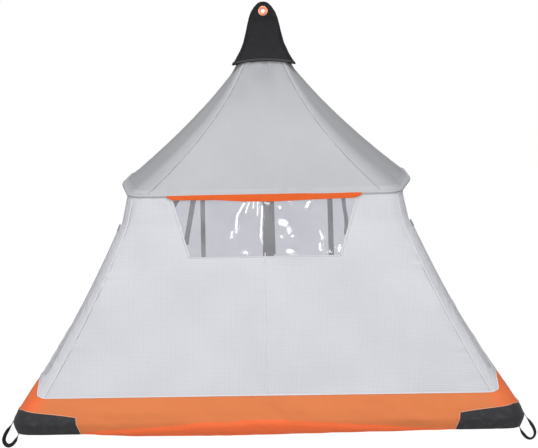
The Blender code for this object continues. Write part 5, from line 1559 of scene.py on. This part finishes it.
@dataclass
class ApexCap:
    """The black nose with its flat tongue, the copper eyelet through it and their stitching."""

    shape: FlyShape
    bore: float = 0.0090
    cloth_bore: float = 0.0135
    flange: float = 0.0225
    face: float = 0.0068
    lip: float = 0.0018
    hem_drop: float = 0.286
    around: int = 160

    def build(self) -> None:
        """Builds and dresses the cap and the eyelet."""
        self.cap()
        self.hem()
        self.eyelet()

    def cap(self) -> None:
        """The cap as one sheet of rings, open at the hem and folded shut over the tongue."""
        shape = self.shape
        rings = []
        for drop in np.concatenate([np.linspace(shape.cap_drop, 0.090, 44),
                                    np.linspace(0.086, 0.012, 30), np.linspace(0.010, 0.0, 8)]):
            ring = shape.cap_ring(float(drop))
            spot = ring.at(np.linspace(0, ring.length, self.around + 1))
            arch = shape.cap_arch(spot) * smooth_step(drop, 0.20, shape.cap_drop)
            rings.append(with_z(spot, HANG + shape.cap_top - drop + arch))
        last = rings[-1]
        for shrink in (0.6, 0.25, 0.0):
            rings.append(last * (0.4 + 0.6 * shrink, shrink, 1.0) + UP * 0.0008 * (1 - shrink))
        points = np.array(rings)
        middle = (points[:-1, :-1] + points[1:, 1:]) / 2
        hole = np.hypot(middle[..., 0], middle[..., 2] - HANG) < self.cloth_bore
        around, down = np.meshgrid(np.linspace(0, 1, self.around + 1),
                                   np.linspace(1, 0, len(points)))
        lift = soft_noise(around * 30, down * 9, 101) * 0.0012 * smooth_step(down, 0.25, 0.5)
        lift += soft_noise(around * 12, down * 5, 102) * 0.0014 * smooth_step(down, 0.3, 0.6)
        lift *= 1 - smooth_step(down, 0.93, 1.0) * 0.6
        lift[:, -1] = lift[:, 0]
        cloth = Cloth("apex_cap_cloth", points, wall=0.0012, outward=(0, 1, 0), hole=hole, weld=True)
        cloth.lay(lift).hold("black", "black_cloth", "apex_cap", "suspension_head")

    def hem(self) -> None:
        """The folded tape along the cap's lower edge."""
        shape = self.shape
        ring = shape.cap_ring(self.hem_drop)
        around = np.linspace(0, ring.length, self.around + 1)
        spot = ring.at(around)
        path = with_z(spot, HANG + shape.cap_top - self.hem_drop + shape.cap_arch(spot))
        facing = unit(with_z(ring.outward(around), 0.5))
        strip("cap_hem", path, facing, stand=0.0016, width=0.010, wall=0.0010, crown=0.0006,
              columns=2).dress("black_tape", "black_cloth")

    def eyelet(self) -> None:
        """The rolled copper eyelet, spun from its section."""
        bore, flange, face = self.bore, self.flange, self.face
        lip, inner = face + self.lip, self.bore + 0.0015
        roll = [(flange, face), (flange + 0.0001, face + 0.0006), (flange - 0.0012, lip - 0.0003),
                (flange - 0.0035, lip), (bore + 0.0050, lip + 0.0006), (bore + 0.0026, lip + 0.0007),
                (bore + 0.0009, lip + 0.0002), (bore, lip - 0.0012)]
        back = [(radius, -height) for radius, height in reversed(roll)]
        section = roll + [(bore, 0.0)] + back + [(inner, -face), (inner, face)]
        mesh = bpy.data.meshes.new("apex_eyelet")
        count = len(section)
        mesh.from_pydata([(radius, height, 0.0) for radius, height in section],
                         [(index, (index + 1) % count) for index in range(count)], [])
        item = linked("apex_eyelet", mesh)
        with editing(item):
            bpy.ops.mesh.spin(steps=64, angle=2 * math.pi, center=(0, 0, 0), axis=(0, 1, 0))
            bpy.ops.mesh.select_all(action="SELECT")
            bpy.ops.mesh.remove_doubles(threshold=0.00001)
            bpy.ops.mesh.normals_make_consistent(inside=False)
        smooth(item, 60)
        seat(item, "copper", ROOT, ["apex_grommet"])


@dataclass
class Zips:
    """The coil zips down the two front corners."""

    shape: FlyShape
    start: float = 0.140
    end: float = 0.780
    lift: float = 0.0021
    wall: float = 0.0016
    coil_width: float = 0.007
    tape_width: float = 0.009
    tape_away: float = 0.0085

    def build(self) -> None:
        """Builds the two chains with their woven tapes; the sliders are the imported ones."""
        shape = self.shape
        for side in Side:
            across = shape.zip_share if side is Side.RIGHT else 1 - shape.zip_share
            marks = shape.skirt(side.word, np.full(3, across), np.linspace(self.start, self.end, 3))
            first, second = marks[1] - marks[0], marks[2] - marks[0]
            normal = np.cross(first, second)
            to_centre = (np.cross(normal, first) * (second @ second)
                         + np.cross(second, normal) * (first @ first))
            centre = marks[0] + to_centre / (2 * (normal @ normal))
            axis = unit(normal)
            spoke = marks[0] - centre
            radius = float(np.linalg.norm(spoke))
            last = marks[2] - centre
            sweep = math.acos(float(spoke @ last) / radius / float(np.linalg.norm(last)))
            scale = (radius - self.lift - self.wall / 2) / radius
            turn = np.linspace(0, sweep, 150)[:, None]
            path = centre + (spoke * np.cos(turn) + np.cross(axis, spoke) * np.sin(turn)) * scale
            facing = unit(centre - path)
            name = "zip_chain_" + side.word
            strip(name + "_coil", path, facing, width=self.coil_width, wall=self.wall).dress(
                "coil", "zip", [name])
            path = path - facing * (self.wall / 2 + 0.0004)
            for edge, word in ((-1, "inner"), (1, "outer")):
                strip(f"zip_tape_{side.word}_{word}", path + axis * edge * self.tape_away, facing,
                      width=self.tape_width, wall=0.0006, columns=2).dress("tape", "zip")


@dataclass
class Bed:
    """The bed cloth between the rails, its sleeves and the end sleeves."""

    half: float = 0.951
    reach: float = 0.603
    end_reach: float = 1.086
    end_half: float = 0.516
    sleeve: float = 0.0181
    sag: float = 0.006
    wall: float = 0.0016
    strap_gap: tuple = (-0.040, 0.115)
    strap_notch: float = 0.050

    def turned(self, start: float, end: float) -> np.ndarray:
        """A sleeve's section round its rail, from one angle in degrees to another."""
        turns = np.radians(np.linspace(start, end, 27))
        return self.sleeve * np.stack([np.cos(turns), np.sin(turns)], axis=1)

    def build(self) -> None:
        """Builds and dresses the three cloths."""
        self.cloth()
        for side in Side:
            self.end_sleeve(side)

    def section(self) -> np.ndarray:
        """The bed's section across: round one rail, over to the other, round it."""
        first = self.turned(-62, -270) - (self.reach, 0)
        share = np.linspace(0, 1, 61)[1:-1]
        run = np.stack([self.reach * (2 * share - 1),
                        self.sleeve - self.sag * np.sin(math.pi * share) ** 2], axis=1)
        return np.vstack([first, run, first[::-1] * (-1, 1)])

    def cloth(self) -> None:
        """The bed with a slight sag, cut away round the middle straps."""
        section = self.section()
        points = spread(np.linspace(-self.half, self.half, 191), section[:, :1], section[:, 1:])
        x, y = points[..., 0], points[..., 1]
        lift = soft_noise(x * 5, y * 7, 111) * 0.0016 + soft_noise(x * 18, y * 5, 112) * 0.0008
        lift *= smooth_step(self.reach - np.abs(y), 0.02, 0.12)
        x, y, _ = np.moveaxis(points[:-1, :-1] + points[1:, 1:], 2, 0) / 2
        hole = ((x > self.strap_gap[0]) & (x < self.strap_gap[1])
                & (np.abs(y) > self.reach - self.strap_notch))
        rails = [f"{row.word}_rail_{side.word}" for row in Row for side in Side]
        Cloth("bed_cloth", points, wall=self.wall, outward=(0, 0, 1), hole=hole).lay(lift).hold(
            "bed", "bed", "bed_fabric", *rails)

    def end_sleeve(self, side: Side) -> None:
        """The sleeve round an end rail, sewn to the bed's end."""
        run = spread(np.linspace(self.end_reach, self.half + SEWN, 13)[1:], self.sleeve)
        section = np.vstack([self.turned(-150, 90) + (self.end_reach, 0), run])
        points = spread(side.value * section[:, :1], np.linspace(-self.end_half, self.end_half, 81),
                        section[:, 1:])
        name = "bed_end_sleeve_" + side.word
        Cloth(name + "_cloth", points, wall=self.wall, outward=(side.value, 0, 0.4)).lay().hold(
            "bed", "bed", name, "end_rail_" + side.word)


@dataclass
class Suspension:
    """The sewn head under the eyelet, six legs, six straps and their tails."""

    reach: float = 0.603
    strap_x: float = 0.980
    hub_drop: float = 0.150
    buckle_height: float = 1.160
    webbing: float = 0.025
    wall: float = 0.0022
    slack: float = 0.0003
    rail: float = 0.016
    bar: float = 0.0050
    bar_climb: float = 0.0270
    tab_half: float = 0.0195
    tab_bore: float = 0.0125
    tail_steps: int = 60
    tip_steps: int = 52
    tails: dict = field(default_factory=lambda: {
        "front_left": (0.430, ((0, 0, 0), (0.5, -0.044, 12), (1, -0.086, 24))),
        "wall_left": (0.560, ((0, 0, 0), (0.35, -0.026, 20), (1, -0.028, 28))),
        "front_middle": (0.560, ((0, 0, 0), (0.3, 0.020, 10), (1, 0.022, 22))),
        "wall_middle": (0.520, ((0, 0, 0), (0.3, 0.018, 15), (1, 0.024, 35))),
        "front_right": (0.560, ((0, 0, 0), (0.3, 0.006, 5), (1, 0.010, 10))),
        "wall_right": (0.430, ((0, 0, 0), (0.45, 0.074, 30), (0.7, 0.082, 50), (0.85, 0.094, 42),
                               (1, 0.084, 60)))})

    def build(self) -> None:
        """Builds and dresses the head, the legs and the straps."""
        hub = np.array([0.0, 0.0, HANG - self.hub_drop])
        self.head(hub)
        for row in Row:
            for place, x in (("left", -self.strap_x), ("middle", 0.0), ("right", self.strap_x)):
                anchor = np.array([x, row.value * self.reach, 0.0])
                self.strap(f"{row.word}_{place}", anchor, hub)

    def axes(self, anchor: np.ndarray, hub: np.ndarray) -> tuple:
        """A buckle's origin and axes: across the webbing, inwards, and up the strap."""
        up = unit(hub - anchor)
        across = unit(SPREAD - up * up[0])
        inward = np.cross(up, across)
        if inward[1] * anchor[1] > 0:
            across, inward = -across, -inward
        return anchor + up * (self.buckle_height / up[2]), across, inward, up

    def head(self, hub: np.ndarray) -> None:
        """The doubled tab that the eyelet clamps, with its hole for daylight."""
        across, height = np.meshgrid(np.linspace(-self.tab_half, self.tab_half, 27),
                                     np.linspace(HANG + 0.029, hub[2] - 0.012, 60))
        for face, word in ((-1, "front"), (1, "back")):
            points = spread(across, face * 0.0013, height)
            middle = (points[:-1, :-1] + points[1:, 1:]) / 2
            hole = np.hypot(middle[..., 0], middle[..., 2] - HANG) < self.tab_bore
            Cloth("suspension_tab_" + word, points, wall=self.wall, offset=0.0, outward=(0, face, 0),
                  hole=hole).lay().dress("strap", "webbing", ["suspension_head"] if face < 0 else ())

    def strap(self, name: str, anchor: np.ndarray, hub: np.ndarray) -> None:
        """One leg, one strap round the rail and through the cam, and its hanging tail."""
        origin, across, inward, up = self.axes(anchor, hub)
        apart = self.wall / 2 + 0.0002
        bar = origin + up * (self.bar_climb - self.bar / 2)
        wrap = self.bar / math.sqrt(2) + self.slack + self.wall / 2
        leg = np.vstack([hub + up * 0.004 - inward * 0.0004,
                         bar + up * 0.050 - inward * apart, bar + up * 0.012 - inward * apart,
                         bar + self.arc(inward, up, 165, 375, 12) * wrap,
                         bar + up * 0.012 + inward * apart, bar + up * 0.034 + inward * apart])
        self.ribbon("leg_" + name, leg, np.repeat([across], len(leg), axis=0), self.webbing - 0.001)
        rise = unit(up * (0, 1, 1))
        side = inward * (0, 1, 1)
        side = unit(side - rise * (side @ rise))
        wrap = self.rail + self.slack + self.wall / 2
        level = math.copysign(1.0, across[0]) * SPREAD
        path = np.vstack([anchor + rise * 0.062 - side * apart, anchor + rise * 0.040 - side * apart,
                          anchor + self.arc(side, rise, 140, 400, 22) * wrap,
                          anchor + rise * 0.040 + side * apart, anchor + rise * 0.062 + side * apart])
        share = np.linspace(0.02, 0.98, 24)[:, None]
        climb = path[-1] * (1 - share) + (origin - inward * 0.0030 - up * 0.050) * share
        turn = unit(level * (1 - share) + across * share)
        cam = np.array([(-0.0030, -0.050), (-0.0030, -0.020), (-0.0030, 0.0060), (-0.0022, 0.0115),
                        (0.0008, 0.0152), (0.0052, 0.0166), (0.0100, 0.0158), (0.0142, 0.0128)])
        widths = np.vstack([np.repeat([level], len(path), axis=0), turn,
                            np.repeat([across], len(cam), axis=0)])
        path = np.vstack([path, climb, origin + cam @ np.stack([inward, up])])
        self.ribbon(f"strap_{name}_webbing", path, widths, self.webbing, replaces=["strap_" + name])
        self.hang_tail(name, path[-1], across, inward)

    @staticmethod
    def arc(first: np.ndarray, second: np.ndarray, start: float, end: float, count: int) -> np.ndarray:
        """Directions in the plane of two others, from one angle in degrees to another."""
        turns = np.radians(np.linspace(start, end, count))[:, None]
        return first * np.cos(turns) + second * np.sin(turns)

    def hang_tail(self, name: str, last: np.ndarray, across: np.ndarray, inward: np.ndarray) -> None:
        """The loose end of a strap below its buckle; each hangs a little differently."""
        length, courses = self.tails[name]
        level = math.copysign(1.0, across[0]) * SPREAD
        drop = np.linspace(0.0, length, self.tail_steps)
        stops, shifts, turns = np.array(courses).T
        shift = np.interp(drop, stops * length, shifts)
        shift = np.convolve(np.pad(shift, 4, "edge"), np.ones(9) / 9, "valid")
        turn = np.radians(np.interp(drop, stops * length, turns))[:, None]
        away = unit(inward * (1, 1, 0)) * (0.0030 * smooth_step(drop, 0.0, 0.04))[:, None]
        path = last + away + spread(shift, 0.0, -drop)
        blend = smooth_step(drop, 0.0, 0.02)[:, None]
        widths = across * (1 - blend) + (level * np.cos(turn) + BACK * np.sin(turn)) * blend
        widths = unit(widths)
        whole = self.tip_steps if name == "front_left" else self.tail_steps
        self.ribbon("tail_" + name, path[:whole], widths[:whole], self.webbing - 0.001)
        if whole < self.tail_steps:
            self.ribbon("tail_tip_" + name, path[whole - 1:], widths[whole - 1:], self.webbing - 0.001,
                        "tip")

    def ribbon(self, name: str, path: np.ndarray, widths: np.ndarray, width: float,
               finish: str = "strap", replaces: Sequence[str] = ()) -> None:
        """Webbing along a path whose width lies along given directions."""
        share = np.linspace(-0.5, 0.5, 5)[None, :, None]
        points = path[:, None, :] + widths[:, None, :] * share * width
        middle = len(path) // 2
        facing = np.cross(widths[middle], np.gradient(path, axis=0)[middle])
        Cloth(name, points, wall=self.wall, offset=0.0, outward=tuple(facing)).lay().dress(
            finish, "webbing", replaces)


@dataclass
class Hardware:
    """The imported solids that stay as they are, with their finishes."""

    frame: dict

    def build(self) -> None:
        """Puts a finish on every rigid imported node."""
        finishes = {"rail": "tube", "spreader": "tube", "elbow": "elbow", "buckle_frame": "buckle",
                    "buckle_lever": "lever", "fly_pole": "pole", "zip_slider": "slider"}
        for name, node in self.frame["nodes"].items():
            for finish in [finish for word, finish in finishes.items() if word in name][:1]:
                WARDROBE.wear(node, finish)
                LOG.info("%s keeps its solid, in %s", name, finish)


@dataclass
class Studio:
    """Pale floor, white surroundings, soft lamps and the camera."""

    eye: tuple = (0.170, -6.60, -0.360)
    target: tuple = (0.0088, 0.0, -0.9995)
    focal: float = 1400.0
    image_width: float = 538.0
    roll: float = -0.0198
    sensor: float = 36.0
    floor_height: float = -2.75
    fill_light: float = 0.34

    def build(self) -> None:
        """Builds the surroundings, the lamps and the camera."""
        self.surroundings()
        self.floor()
        for name, place, aim, size, power in (
                ("key_left", (-3.0, -5.6, 0.5), (0, 0, -1.0), (1.6, 2.4), 140.0),
                ("key_right", (2.9, -5.6, 0.5), (0, 0, -1.0), (1.6, 2.4), 115.0),
                ("top_soft", (0.0, -3.0, 3.6), (0, 0, -0.8), (3.5, 2.5), 210.0),
                ("back_wash", (0.0, 5.2, 0.2), (0, 0, -1.0), (3.6, 3.0), 210.0)):
            self.lamp(name, place, aim, size, power)
        self.camera()

    def surroundings(self) -> None:
        """White to the camera and in reflections, softer as a source of light."""
        sheet = NodeSheet("studio_white", world=True)
        level = sheet.ramp(sheet.seen(), 0.0, 1.0, self.fill_light, 1.0)
        glow = sheet.add("Background", {"Color": (1, 1, 1, 1), "Strength": level})
        bpy.context.scene.world = sheet.finish(glow.outputs[0])

    def floor(self) -> None:
        """A wide pale floor under the hanging ledge that keeps its shadow."""
        bpy.ops.object.select_all(action="DESELECT")
        bpy.ops.mesh.primitive_plane_add(size=60, location=(0, 0, self.floor_height))
        floor = bpy.context.object
        floor.name = "floor"
        bpy.ops.object.transform_apply(location=True, rotation=True, scale=True)
        sheet = NodeSheet("pale_floor")
        dust = sheet.ramp(sheet.noise(sheet.spot(), 3.0), 0.3, 0.7, 0.64, 0.68)
        matt = sheet.add("BsdfDiffuse", {"Color": sheet.grey(dust)}).outputs[0]
        glow = sheet.add("Emission", {"Color": (1, 1, 1, 1), "Strength": 1.05}).outputs[0]
        share = sheet.math("MULTIPLY", sheet.seen(), 0.97)
        floor.data.materials.append(sheet.finish(sheet.mixed(share, matt, glow)))

    def lamp(self, name: str, place: tuple, aim: tuple, size: tuple, power: float) -> None:
        """One soft rectangular lamp turned towards a point."""
        data = bpy.data.lights.new(name, "AREA")
        data.shape = "RECTANGLE"
        data.size, data.size_y = size
        data.energy = power
        lamp = linked(name, data)
        lamp.location = place
        lamp.rotation_euler = aimed(place, aim).to_euler()

    def camera(self) -> None:
        """The camera at the photograph's place and angle."""
        data = bpy.data.cameras.new("camera")
        data.sensor_width = self.sensor
        data.lens = self.sensor * self.focal / self.image_width
        data.clip_start, data.clip_end = 0.1, 100.0
        camera = linked("camera", data)
        camera.location = self.eye
        camera.rotation_mode = "QUATERNION"
        camera.rotation_quaternion = aimed(self.eye, self.target) @ Quaternion((0, 0, 1), self.roll)
        bpy.context.scene.camera = camera


def main() -> None:
    """Builds the studio and every sub-assembly in order."""
    logging.basicConfig(level=logging.INFO, format="%(name)s %(message)s")
    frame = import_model()
    bpy.context.scene.view_settings.view_transform = "Standard"
    Studio().build()
    shape = FlyShape()
    for assembly in (Hardware(frame), UpperFly(shape), LowerFly(shape), Brim(shape), Window(shape),
                     HemBand(shape), ApexCap(shape), Zips(shape), Bed(), Suspension()):
        LOG.info("building %s", type(assembly).__name__)
        assembly.build()


if __name__ == "__main__":
    main()
